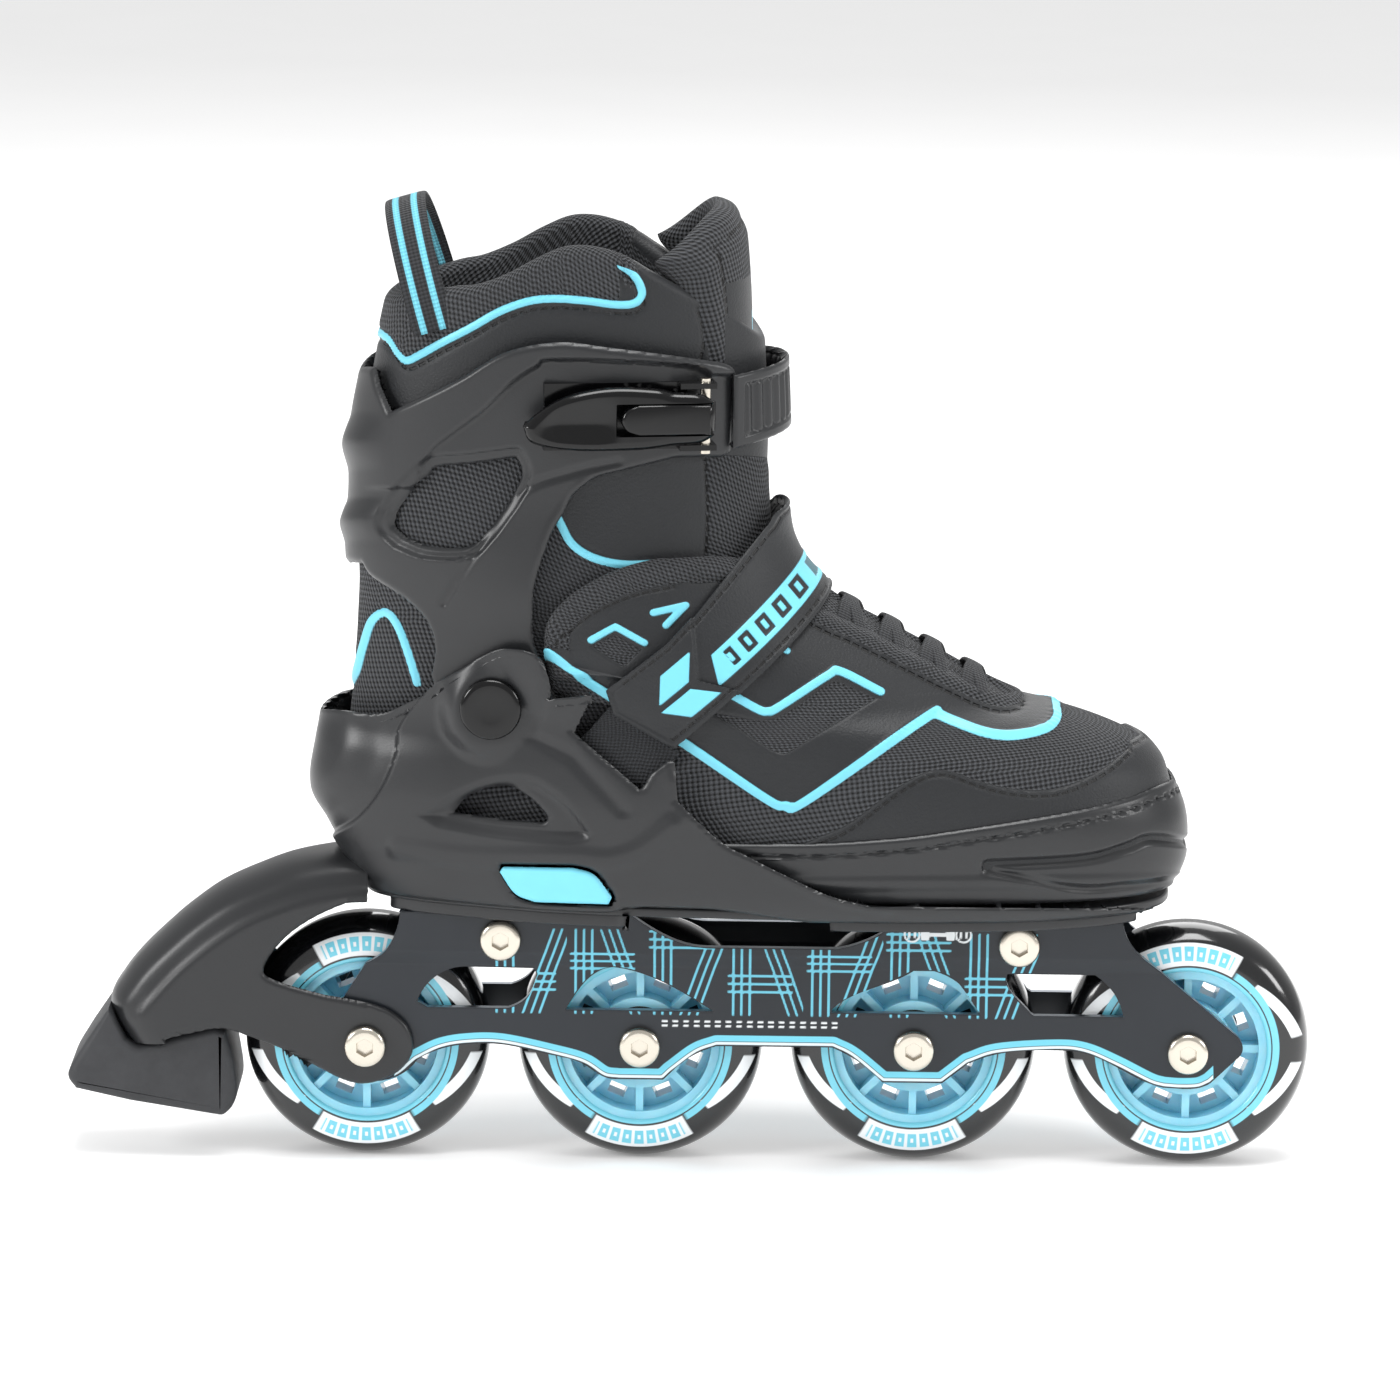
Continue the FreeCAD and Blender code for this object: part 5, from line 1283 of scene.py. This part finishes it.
def make_tongue(look):
    """Tongue: an arched pad in front of the shin; its thickness swells inside a rolled rim."""
    u = np.linspace(-1, 1, 121)[None, :]
    v = np.linspace(0, 1, 150)[:, None]
    centre_x = -13.0 - 1.2 * v + 2.0 * np.sin(np.pi * v)
    centre_z = 207.0 + 76.0 * v
    spread = 24.0 + 6.0 * v
    droop = 14.0 * np.abs(u) ** 3 * step(v, 0.55, 1.0)
    x = centre_x - 4.0 * step(v, 0.86, 1.0) - (19.0 + 6.0 * v) * (1 - np.sqrt(1 - 0.93 * u ** 2)) - 1.0
    y = spread * np.sin(u * 1.15) + 0 * v
    z = centre_z - droop + 0 * u
    middle = np.stack([x + 0 * z, y, z], axis=-1)
    normal = grid_normals(middle)
    normal *= np.sign(normal[75, 60, 0])
    rim = np.maximum(np.abs(u), 2 * np.abs(v - 0.5))
    swell = np.sqrt(np.clip(1 - rim ** 10, 0, 1))
    from_rim = np.minimum((1 - np.abs(u)) * 26.0, (1 - v) * 76.0 + 0 * u)
    roll = 1.1 * np.sin(np.pi * np.clip(from_rim / 7.0, 0, 1))
    half = (3.2 + roll) * swell
    front = middle + normal * half[..., None]
    back = middle - normal * half[..., None]
    leather = np.where(z < 262.0, 1.0, -1.0) * np.minimum(np.abs(z - 262.0), 9.0)
    leather = np.where(from_rim < 7.0, -1.0, leather)
    shape = leather.shape
    film = np.where(z < 262.0, np.maximum(np.abs(u * 24.0) - 2.6, np.abs(z - 248.0) - 3.4), 99.0)
    seam = np.abs(from_rim - 7.4)
    fields = {"leather": leather, "film": film + np.zeros(shape), "seam": seam + np.zeros(shape),
              "along": z + 20.0 * np.abs(u)}
    rear = {"leather": np.full(shape, -9.0), "film": np.full(shape, 99.0), "seam": np.full(shape, 99.0),
            "along": np.zeros(shape)}
    points = np.stack([front, back])
    uv = np.stack([row_lengths(front), row_lengths(back)])
    faces = grid_faces(*shape)
    faces = np.vstack([faces, faces[:, ::-1] + front.shape[0] * front.shape[1]])
    both = {key: np.concatenate([fields[key].ravel(), rear[key].ravel()]) for key in fields}
    tongue = mesh_object("padded_tongue", points.reshape(-1, 3), faces.tolist(), both, uv.reshape(-1, 2))
    face_outwards(tongue)
    settle(tongue, "cloth", "cuff_part", "liner_fabric", "tongue")


def make_cuff(look):
    """Cuff: a stiff band of the boot's form with a side window, a spoiler at the back and a step below its rim."""
    turn, level, base = skin_grid(122.0, 252.0, 190, 560, CUFF_OFFSET)
    x, z = base[..., 0], drawn_height(base, 40.0)
    rim = outline(
        [(-69.0, 150.0)],
        [(-69.8, 156.0), (-71.4, 162.4), (-71.6, 168.8), (-71.0, 177.3), (-68.7, 184.8), (-66.0, 192.3),
         (-63.0, 197.6), (-59.7, 203.5), (-53.3, 208.3), (-43.7, 211.0)],
        [(-29.8, 214.7)], [(-17.0, 215.0)], [(-14.5, 217.0)], [(-14.0, 238.0)],
        [(-16.5, 242.0), (-27.7, 243.7), (-49.0, 246.0), (-64.0, 247.4), (-79.0, 244.5), (-91.7, 237.0),
         (-102.3, 231.7), (-112.0, 227.5)],
        [(-116.2, 235.0)], [(-118.0, 240.5)], [(-145.0, 244.5)], [(-145.0, 187.0)], [(-122.0, 183.6)],
        [(-119.4, 180.0), (-113.0, 176.0), (-107.7, 172.4), (-102.3, 166.5), (-100.2, 159.0), (-101.5, 150.0)])
    lug = 18.5 - np.hypot(x - PIVOT[0], z - PIVOT[2])
    neck = inside(x, z, outline([(-101.0, 152.0)], [(-69.0, 152.0)], [(-66.0, 142.0)], [(-100.0, 138.0)]))
    keep = np.maximum(np.maximum(inside(x, z, rim), lug), neck)
    window = inside(x, z, outline(
        [(-109.8, 202.0), (-103.4, 208.3), (-100.2, 211.0), (-89.5, 212.0), (-76.7, 213.8)],
        [(-75.0, 209.3), (-77.3, 203.5), (-81.0, 198.0), (-85.3, 192.3), (-90.6, 188.0), (-102.3, 188.0),
         (-109.8, 190.7)], [(-113.0, 194.0), (-112.5, 198.0)]))
    keep = np.minimum(keep, -window)
    inner_line = spline([(-22.0, 239.5), (-29.8, 241.5), (-65.0, 242.4), (-70.3, 240.3), (-76.7, 236.0),
                         (-85.3, 227.5), (-93.8, 221.0), (-99.0, 216.8), (-104.3, 210.5)])
    upper = z - np.interp(x, inner_line[::-1, 0], inner_line[::-1, 1], left=205.0, right=239.0)
    relief = 1.7 * step(upper, -0.6, 0.8) * step(x, -122.0, -108.0)
    relief -= 1.3 * step(window, -3.6, -2.4)
    relief += rounded_edge(np.maximum(keep, 0.0), 1.6)
    relief += groove(x, z, spline([(-47.0, 213.0), (-60.0, 210.0), (-75.7, 203.5), (-88.0, 186.0), (-97.0, 172.0)]),
                     2.0, 0.7)
    relief += 1.0 * (1 - step(np.abs(line_distance(x, z, spline([(-68.0, 158.0), (-68.5, 175.0), (-64.0, 192.0),
                                                                 (-56.0, 204.0)]))[0]), 0.0, 5.0))
    spoiler = step(-x, 112.0, 122.0) * (1 - step(np.abs(z - 219.0), 0.0, 9.0))
    relief += 1.8 * spoiler + 1.6 * step(-x, 110.0, 120.0) * (1 - step(np.abs(z - 196.0), 0.0, 7.0))
    points = boot_surface(turn, level, CUFF_OFFSET + relief)
    cuff = trimmed("moulded_cuff", points, keep)
    walled(cuff, (-60.0, 0.0, 200.0), look.cuff_wall / MM)
    settle(cuff, "plastic", "cuff_part", "moulded_plastic", "cuff")


def buckle_place(a, b, depth):
    """From the buckle's own frame, turned to follow the cuff, to the row frame."""
    turned = math.radians(9.5)
    x = BUCKLE_PIN[0] + a * math.cos(turned) - depth * math.sin(turned)
    y = BUCKLE_PIN[1] + a * math.sin(turned) + depth * math.cos(turned)
    return np.stack([x, y, BUCKLE_PIN[2] + b], axis=-1)


def make_buckle(look):
    """Lever: its face falls at the edge on a quarter circle and is scooped along its middle."""
    a, b = np.meshgrid(np.arange(-54.5, 5.0, 0.3), np.arange(-10.5, 10.8, 0.3))
    leaf = outline([(3.2, 4.0)],
                   [(-2.0, 7.0), (-10.0, 7.7), (-15.0, 8.8), (-28.0, 9.4), (-40.0, 7.2), (-49.0, 2.2),
                    (-53.0, -1.5)],
                   [(-50.0, -6.4), (-38.0, -8.7), (-20.0, -8.8), (-10.0, -7.7), (-2.0, -7.0), (3.2, -4.0)])
    body = inside(a, b, leaf)
    room = np.minimum(4.7 - np.abs(b), a + 26.5)
    keep = np.minimum(body, -room)
    scoop = 1.9 * np.exp(-((b + 1.0) / 4.6) ** 2) * step(-a, 24.0, 33.0) * step(a, -50.0, -42.0)
    depth = -7.0 - rounded_edge(np.maximum(body, 0.0), 2.6) + scoop
    lever = trimmed("buckle_leaf", buckle_place(a, b, depth), keep)
    turn_outwards(lever, (0.0, -1.0, 0.0))
    thicken(lever, 3.0)
    settle(lever, "gloss", "lever", "gloss_black_plastic", "buckle_lever")


def make_release_tab(look):
    """Release tab: a rounded plate over the lever's middle, and its barrel round the pin."""
    tab = outline([(0.5, -4.4)], [(0.5, 4.4)], [(-20.0, 4.4)], [(-23.5, 3.0), (-25.0, 0.0), (-23.5, -3.0),
                                                               (-20.0, -4.4)])
    tab = rounded_plate("trigger_tab", tab, -7.6, -4.6, 1.0, buckle_place)
    hub = lathe_upright("trigger_hub", 2.9, 8.8)
    settle(merge([tab, hub], "release_tab"), "gloss", "trigger", "gloss_black_plastic", "release_trigger")


def lathe_upright(name, radius, length):
    """Barrel round the buckle's pin: a circle carried up the pin, its ends rounded and closed."""
    angle = np.linspace(0, 2 * np.pi, 48, endpoint=False)
    rise = np.array([-0.5, -0.5, -0.46, 0.46, 0.5, 0.5]) * length
    r = np.array([0.0, radius - 0.4, radius, radius, radius - 0.4, 0.0])
    points = buckle_place(r[:, None] * np.cos(angle), rise[:, None] + 0 * angle, r[:, None] * np.sin(angle))
    return face_outwards(grid_object(name, points, wrap_columns=True))


def make_ladder_strap(look):
    """Ladder strap: a band of the boot's form with teeth across it, a sine of the run round the boot."""
    turn, level, base = skin_grid(205.0, 245.0, 110, 1000, LADDER_OFFSET)
    x, z = base[..., 0], base[..., 2]
    near = inside(x, z, outline([(-14.0, 215.2)], [(12.0, 219.8)], [(12.0, 239.8)], [(-14.0, 236.6)]))
    far = inside(x, z,
                 outline([(-52.0, 214.4)], [(-18.0, 214.4)], [(12.0, 219.8)], [(12.0, 239.8)], [(-18.0, 236.0)],
                               [(-52.0, 236.0)]))
    keep = np.where(base[..., 1] < 0, near, far)
    run = np.abs(turn) * 30.0
    teeth = 0.45 * np.sin(2 * np.pi * run / 3.0) * step(keep, 3.0, 4.0)
    relief = rounded_edge(np.maximum(keep, 0.0), 0.9) - 0.5 * step(keep, 2.6, 3.2) + teeth
    ladder = trimmed("ladder_band", boot_surface(turn, level, LADDER_OFFSET + relief), keep)
    walled(ladder, (-50.0, 0.0, 225.0), 2.2)
    settle(ladder, "plastic", "cuff_part", "moulded_plastic", "ladder_strap")


def make_instep_strap(look):
    """Instep strap and its tape: bands of the boot's form, the strap with a printed stripe and an arrow."""
    turn, level, base = skin_grid(118.0, 203.0, 230, 900, LADDER_OFFSET)
    x, z = base[..., 0], base[..., 2]
    band_loop = outline([(-50.0, 147.0)], [(-47.5, 139.5)], [(-30.5, 130.2)], [(-25.0, 135.0), (14.0, 170.5)],
                        [(40.0, 196.0)], [(4.0, 196.0), (-4.0, 191.0)], [(-33.0, 160.5)])
    keep = inside(x, z, band_loop)
    low_edge, run = line_distance(x, z, np.array([(-30.5, 131.8), (14.0, 170.5), (60.0, 200.5)]))
    low_edge = np.abs(low_edge)
    seam = np.abs(keep - 1.8)
    beat = (run % 6.4)
    stand_in = np.maximum(np.maximum(1.3 - beat, beat - 5.0), np.abs(low_edge - 8.6) - 2.6)
    stand_in = np.maximum(stand_in, np.maximum(28.0 - run, run - 66.0))
    hollow = np.maximum(np.abs(beat - 3.2) - 0.7, np.abs(low_edge - 8.6) - 1.4)
    stand_in = np.maximum(stand_in, -hollow)
    blue = np.abs(low_edge - 8.6) - 4.2
    blue = np.maximum(blue, -stand_in)
    front_end = np.minimum(run - 21.0 - 0.5 * np.abs(low_edge - 5.0), 90.0 - run)
    blue = np.maximum(blue, -front_end)
    arrow_run = run - 0.9 * np.abs(low_edge - 9.0)
    arrow = np.maximum(np.abs(np.abs(low_edge - 9.5) - 4.2) - 3.3, np.maximum(2.5 - arrow_run, arrow_run - 13.5))
    film = np.minimum(blue, arrow)
    plate = 17.5 - run + 0.7 * np.abs(low_edge - 9.5)
    relief = rounded_edge(np.maximum(keep, 0.0), 0.8) - 0.35 * (1 - step(seam, 0.2, 1.0))
    relief += 1.2 * step(plate, 0.0, 0.8) + 0.25 * step(-film, -0.3, 0.4)
    points = boot_surface(turn, level, INSTEP_OFFSET + relief)
    fields = {"leather": 9.0 + 0 * x, "film": film, "seam": seam, "along": run}
    strap = trimmed("instep_band", points, keep, fields, row_lengths(points))
    walled(strap, (-20.0, 0.0, 150.0), look.strap_thickness / MM)
    settle(strap, "cloth", "toe_part", "webbing", "instep_strap")
    web_loop = outline([(-58.0, 133.0)], [(-41.0, 117.5)], [(-29.2, 129.5)], [(-47.0, 146.2)])
    keep = inside(x, z, web_loop)
    points = boot_surface(turn, level, TAPE_OFFSET + rounded_edge(np.maximum(keep, 0.0), 0.5))
    web = trimmed("strap_tape", points, keep, {"stripe": 9.0 + 0 * x}, row_lengths(points))
    walled(web, (-20.0, 0.0, 130.0), 1.2)
    settle(web, "tape", "toe_part", "webbing", "strap_webbing")


def make_pull_loop(look):
    """Pull loop: a webbing section carried along half an ellipse over the back of the collar, leaning back."""
    angle = np.linspace(0, np.pi, 121)
    half, top, lean = 30.2, 35.2, math.radians(16.0)
    flat_z = top * np.sin(angle)
    path = np.stack([-100.0 - 0 * angle, half * np.cos(angle), flat_z], axis=1)
    width = np.stack([math.cos(lean) + 0 * angle, 0 * angle, math.sin(lean) + 0 * angle], axis=1)
    x = path[:, 0] - flat_z * math.sin(lean)
    z = 248.5 + flat_z * math.cos(lean)
    path = np.stack([x, path[:, 1], z], axis=1)
    along = np.gradient(path, axis=0)
    along /= np.linalg.norm(along, axis=1, keepdims=True)
    out = np.cross(width, along)
    out /= np.linalg.norm(out, axis=1, keepdims=True)
    a = np.linspace(0, 2 * np.pi, 48, endpoint=False)
    u = 6.0 * np.sign(np.cos(a)) * np.abs(np.cos(a)) ** 0.35
    v = 0.8 * np.sign(np.sin(a)) * np.abs(np.sin(a)) ** 0.6
    loop = tubes("pull_tab", [carried(path, width, out, u, v)],
                 lambda across: np.minimum(np.abs(across + 2.4), np.abs(across - 2.4)) - 1.25)
    settle(loop, "tape", "cuff_part", "webbing", "pull_loop")


# ---- floor, light and camera: each lamp's place and aim in metres, its side in metres and its watts
LAMPS = {"top": ((0.1, -0.3, 1.8), (0, 0, 0.1), 0.9, 24.0), "left": ((-1.7, -0.9, 0.9), (0, 0, 0.12), 0.6, 18.0),
         "right": ((1.8, -0.7, 0.9), (0, 0, 0.12), 0.6, 12.0), "back": ((0.2, 1.7, 1.3), (0, 0, 0.1), 1.2, 12.0)}
FLOOR_HALF = 6000.0
LENS, CAMERA_AWAY, CAMERA_AIM = 195.5, 2.2156, (-0.02354, 0.0, 0.13612)
CAMERA_AZIMUTH, CAMERA_ELEVATION, CAMERA_ROLL = 0.591, 11.612, 0.580


def make_stage(look):
    """Pale paper floor, soft light from above and both sides, and a long-lens camera beside the boot."""
    half = FLOOR_HALF
    floor = mesh_object("paper_floor", [(-half, -half, 0), (half, -half, 0), (half, half, 0), (-half, half, 0)],
                        [(0, 1, 2, 3)], smooth=False)
    dress(floor, "paper")
    world = bpy.data.worlds.new("studio")
    world.use_nodes = True
    world.node_tree.nodes["Background"].inputs[0].default_value = linear("#FFFFFF")
    world.node_tree.nodes["Background"].inputs[1].default_value = look.room_light
    bpy.context.scene.world = world
    for name, (place, aim, wide, watts) in LAMPS.items():
        light = bpy.data.lights.new(name, "AREA")
        light.size = wide
        light.energy = watts * look.light_strength
        lamp = bpy.data.objects.new(name, light)
        lamp.location = place
        lamp.rotation_euler = (Vector(aim) - Vector(place)).to_track_quat("-Z", "Y").to_euler()
        bpy.context.scene.collection.objects.link(lamp)
    data = bpy.data.cameras.new("camera")
    data.lens = LENS
    data.sensor_width = 36.0
    data.clip_end = 50.0
    camera = bpy.data.objects.new("camera", data)
    az, el, roll = (math.radians(v) for v in (CAMERA_AZIMUTH, CAMERA_ELEVATION, CAMERA_ROLL))
    back = Vector((math.sin(az) * math.cos(el), -math.cos(az) * math.cos(el), math.sin(el)))
    place = Vector(CAMERA_AIM) + back * CAMERA_AWAY
    turn = back.to_track_quat("Z", "Y").to_matrix().to_4x4()
    camera.matrix_world = Matrix.Translation(place) @ turn @ Matrix.Rotation(roll, 4, "Z")
    bpy.context.scene.collection.objects.link(camera)
    bpy.context.scene.camera = camera
    bpy.context.scene.view_settings.view_transform = "Standard"


def dress_frame_parts(look):
    """Finishes for the CAD parts that are shown as they are."""
    finishes = {"aluminium": ["bearing_spacers", "axle_barrels"],
                "steel": ["axle_washers", "frame_nuts", "bearing_inner_rings", "buckle_pin", "buckle_rivets",
                          "brake_pad_screw", "ladder_rivet", "pivot_pins", "button_spring"],
                "plastic": ["toe_slide_plate"], "gloss": ["buckle_base"], "lining": ["insole"],
                "hub": ["hub_%d" % n for n in (1, 2, 3, 4)]}
    finishes["steel"] += ["bearing_outer_rings_%d" % n for n in (1, 2, 3, 4)]
    finishes["steel"] += ["bearing_balls_%d" % n for n in (1, 2, 3, 4)]
    for finish, names in finishes.items():
        for name in names:
            dress(frame["nodes"][name], finish)


# ---- add-on
class SkateLooks(bpy.types.PropertyGroup):
    """Colours, thicknesses and light that a user would change."""
    plastic: FloatVectorProperty(name="Shell plastic", description="Colour of the moulded shells",
                                 default=linear("#232426"), size=4, min=0.0, max=1.0, subtype="COLOR")
    leather: FloatVectorProperty(name="Upper leather", description="Colour of the synthetic leather",
                                 default=linear("#1A1C1F"), size=4, min=0.0, max=1.0, subtype="COLOR")
    plate: FloatVectorProperty(name="Frame coat", description="Colour of the frame plates",
                               default=linear("#1C2025"), size=4, min=0.0, max=1.0, subtype="COLOR")
    accent: FloatVectorProperty(name="Accent", description="Colour of films, button and print",
                                default=linear("#74CDE2"), size=4, min=0.0, max=1.0, subtype="COLOR")
    shell_wall: FloatProperty(name="Shell wall", description="Thickness of the moulded shell",
                              default=0.0024, min=0.0005, max=0.005, unit="LENGTH")
    cuff_wall: FloatProperty(name="Cuff wall", description="Thickness of the moulded cuff",
                             default=0.0026, min=0.0005, max=0.005, unit="LENGTH")
    toe_wall: FloatProperty(name="Toe cap wall", description="Thickness of the toe cap",
                            default=0.0022, min=0.0005, max=0.005, unit="LENGTH")
    upper_thickness: FloatProperty(name="Upper", description="Thickness of the forefoot upper",
                                   default=0.002, min=0.0005, max=0.005, unit="LENGTH")
    strap_thickness: FloatProperty(name="Instep strap", description="Thickness of the instep strap",
                                   default=0.0018, min=0.0005, max=0.005, unit="LENGTH")
    light_strength: FloatProperty(name="Light", description="Share of the lamps' power", default=1.0, min=0.0,
                                  max=3.0, subtype="FACTOR")
    room_light: FloatProperty(name="Room light", description="Strength of the even light", default=0.6, min=0.0,
                              max=2.0, subtype="FACTOR")


class SKATE_OT_stage(bpy.types.Operator):
    """Lays the floor and sets the lights and the camera"""
    bl_idname = "skate.stage"
    bl_label = "Stage"

    def execute(self, context):
        make_stage(context.scene.skate_looks)
        return {"FINISHED"}


class SKATE_OT_metal(bpy.types.Operator):
    """Finishes the parts that are shown as designed"""
    bl_idname = "skate.metal"
    bl_label = "Frame parts"

    def execute(self, context):
        dress_frame_parts(context.scene.skate_looks)
        return {"FINISHED"}


class SKATE_OT_tyres(bpy.types.Operator):
    """Makes four printed urethane tyres"""
    bl_idname = "skate.tyres"
    bl_label = "Tyres"

    def execute(self, context):
        make_tyres(context.scene.skate_looks)
        return {"FINISHED"}


class SKATE_OT_bolts(bpy.types.Operator):
    """Makes the socket heads of the axle and frame bolts"""
    bl_idname = "skate.bolts"
    bl_label = "Bolts"

    def execute(self, context):
        make_bolts(context.scene.skate_looks)
        return {"FINISHED"}


class SKATE_OT_frame_print(bpy.types.Operator):
    """Makes the printed coats on the two plates"""
    bl_idname = "skate.frame_print"
    bl_label = "Frame print"

    def execute(self, context):
        make_frame_print(context.scene.skate_looks)
        return {"FINISHED"}


class SKATE_OT_brake(bpy.types.Operator):
    """Makes the brake fender and pad"""
    bl_idname = "skate.brake"
    bl_label = "Heel brake"

    def execute(self, context):
        make_brake(context.scene.skate_looks)
        make_brake_pad(context.scene.skate_looks)
        return {"FINISHED"}


class SKATE_OT_shell(bpy.types.Operator):
    """Makes the moulded shell, its sole and the pivot caps"""
    bl_idname = "skate.shell"
    bl_label = "Shell"

    def execute(self, context):
        make_shell(context.scene.skate_looks)
        make_sole(context.scene.skate_looks)
        make_pivot_caps(context.scene.skate_looks)
        return {"FINISHED"}


class SKATE_OT_button(bpy.types.Operator):
    """Makes the blue size button"""
    bl_idname = "skate.button"
    bl_label = "Size button"

    def execute(self, context):
        make_button(context.scene.skate_looks)
        return {"FINISHED"}


class SKATE_OT_toe_cap(bpy.types.Operator):
    """Makes the toe bumper and its floor"""
    bl_idname = "skate.toe_cap"
    bl_label = "Toe cap"

    def execute(self, context):
        make_toe_cap(context.scene.skate_looks)
        return {"FINISHED"}


class SKATE_OT_vamp(bpy.types.Operator):
    """Makes the forefoot upper and the laces"""
    bl_idname = "skate.vamp"
    bl_label = "Upper"

    def execute(self, context):
        make_vamp(context.scene.skate_looks)
        make_laces(context.scene.skate_looks)
        return {"FINISHED"}


class SKATE_OT_sock(bpy.types.Operator):
    """Makes the padded ankle sock with its collar"""
    bl_idname = "skate.sock"
    bl_label = "Ankle sock"

    def execute(self, context):
        make_sock(context.scene.skate_looks)
        return {"FINISHED"}


class SKATE_OT_tongue(bpy.types.Operator):
    """Makes the padded tongue"""
    bl_idname = "skate.tongue"
    bl_label = "Tongue"

    def execute(self, context):
        make_tongue(context.scene.skate_looks)
        return {"FINISHED"}


class SKATE_OT_cuff(bpy.types.Operator):
    """Makes the moulded cuff"""
    bl_idname = "skate.cuff"
    bl_label = "Cuff"

    def execute(self, context):
        make_cuff(context.scene.skate_looks)
        return {"FINISHED"}


class SKATE_OT_buckle(bpy.types.Operator):
    """Makes the buckle lever and its release tab"""
    bl_idname = "skate.buckle"
    bl_label = "Buckle"

    def execute(self, context):
        make_buckle(context.scene.skate_looks)
        make_release_tab(context.scene.skate_looks)
        return {"FINISHED"}


class SKATE_OT_straps(bpy.types.Operator):
    """Makes the ladder strap, the instep strap and its tape"""
    bl_idname = "skate.straps"
    bl_label = "Straps"

    def execute(self, context):
        make_ladder_strap(context.scene.skate_looks)
        make_instep_strap(context.scene.skate_looks)
        return {"FINISHED"}


class SKATE_OT_pull_loop(bpy.types.Operator):
    """Makes the striped webbing loop"""
    bl_idname = "skate.pull_loop"
    bl_label = "Pull loop"

    def execute(self, context):
        make_pull_loop(context.scene.skate_looks)
        return {"FINISHED"}


OPERATORS = [SKATE_OT_stage, SKATE_OT_metal, SKATE_OT_tyres, SKATE_OT_bolts,
             SKATE_OT_frame_print, SKATE_OT_brake, SKATE_OT_shell, SKATE_OT_button,
             SKATE_OT_toe_cap, SKATE_OT_vamp, SKATE_OT_sock, SKATE_OT_tongue,
             SKATE_OT_cuff, SKATE_OT_buckle, SKATE_OT_straps, SKATE_OT_pull_loop]


class SKATE_PT_panel(bpy.types.Panel):
    """Lists the skate's looks and pieces."""
    bl_label = "Skate"
    bl_idname = "SKATE_PT_panel"
    bl_space_type = "VIEW_3D"
    bl_region_type = "UI"
    bl_category = "Skate"

    def draw(self, context):
        for key in SkateLooks.__annotations__:
            self.layout.prop(context.scene.skate_looks, key)
        for operator in OPERATORS:
            self.layout.operator(operator.bl_idname)


CLASSES = [SkateLooks] + OPERATORS + [SKATE_PT_panel]


def register():
    """Registers the classes and puts the looks on the scene."""
    for item in CLASSES:
        bpy.utils.register_class(item)
    bpy.types.Scene.skate_looks = PointerProperty(type=SkateLooks)


def unregister():
    """Takes the looks off the scene and unregisters the classes."""
    del bpy.types.Scene.skate_looks
    for item in reversed(CLASSES):
        bpy.utils.unregister_class(item)


def main():
    """Registers the add-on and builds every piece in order."""
    register()
    for operator in OPERATORS:
        getattr(bpy.ops.skate, operator.bl_idname.split(".")[1])()
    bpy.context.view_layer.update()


if __name__ == "__main__":
    main()
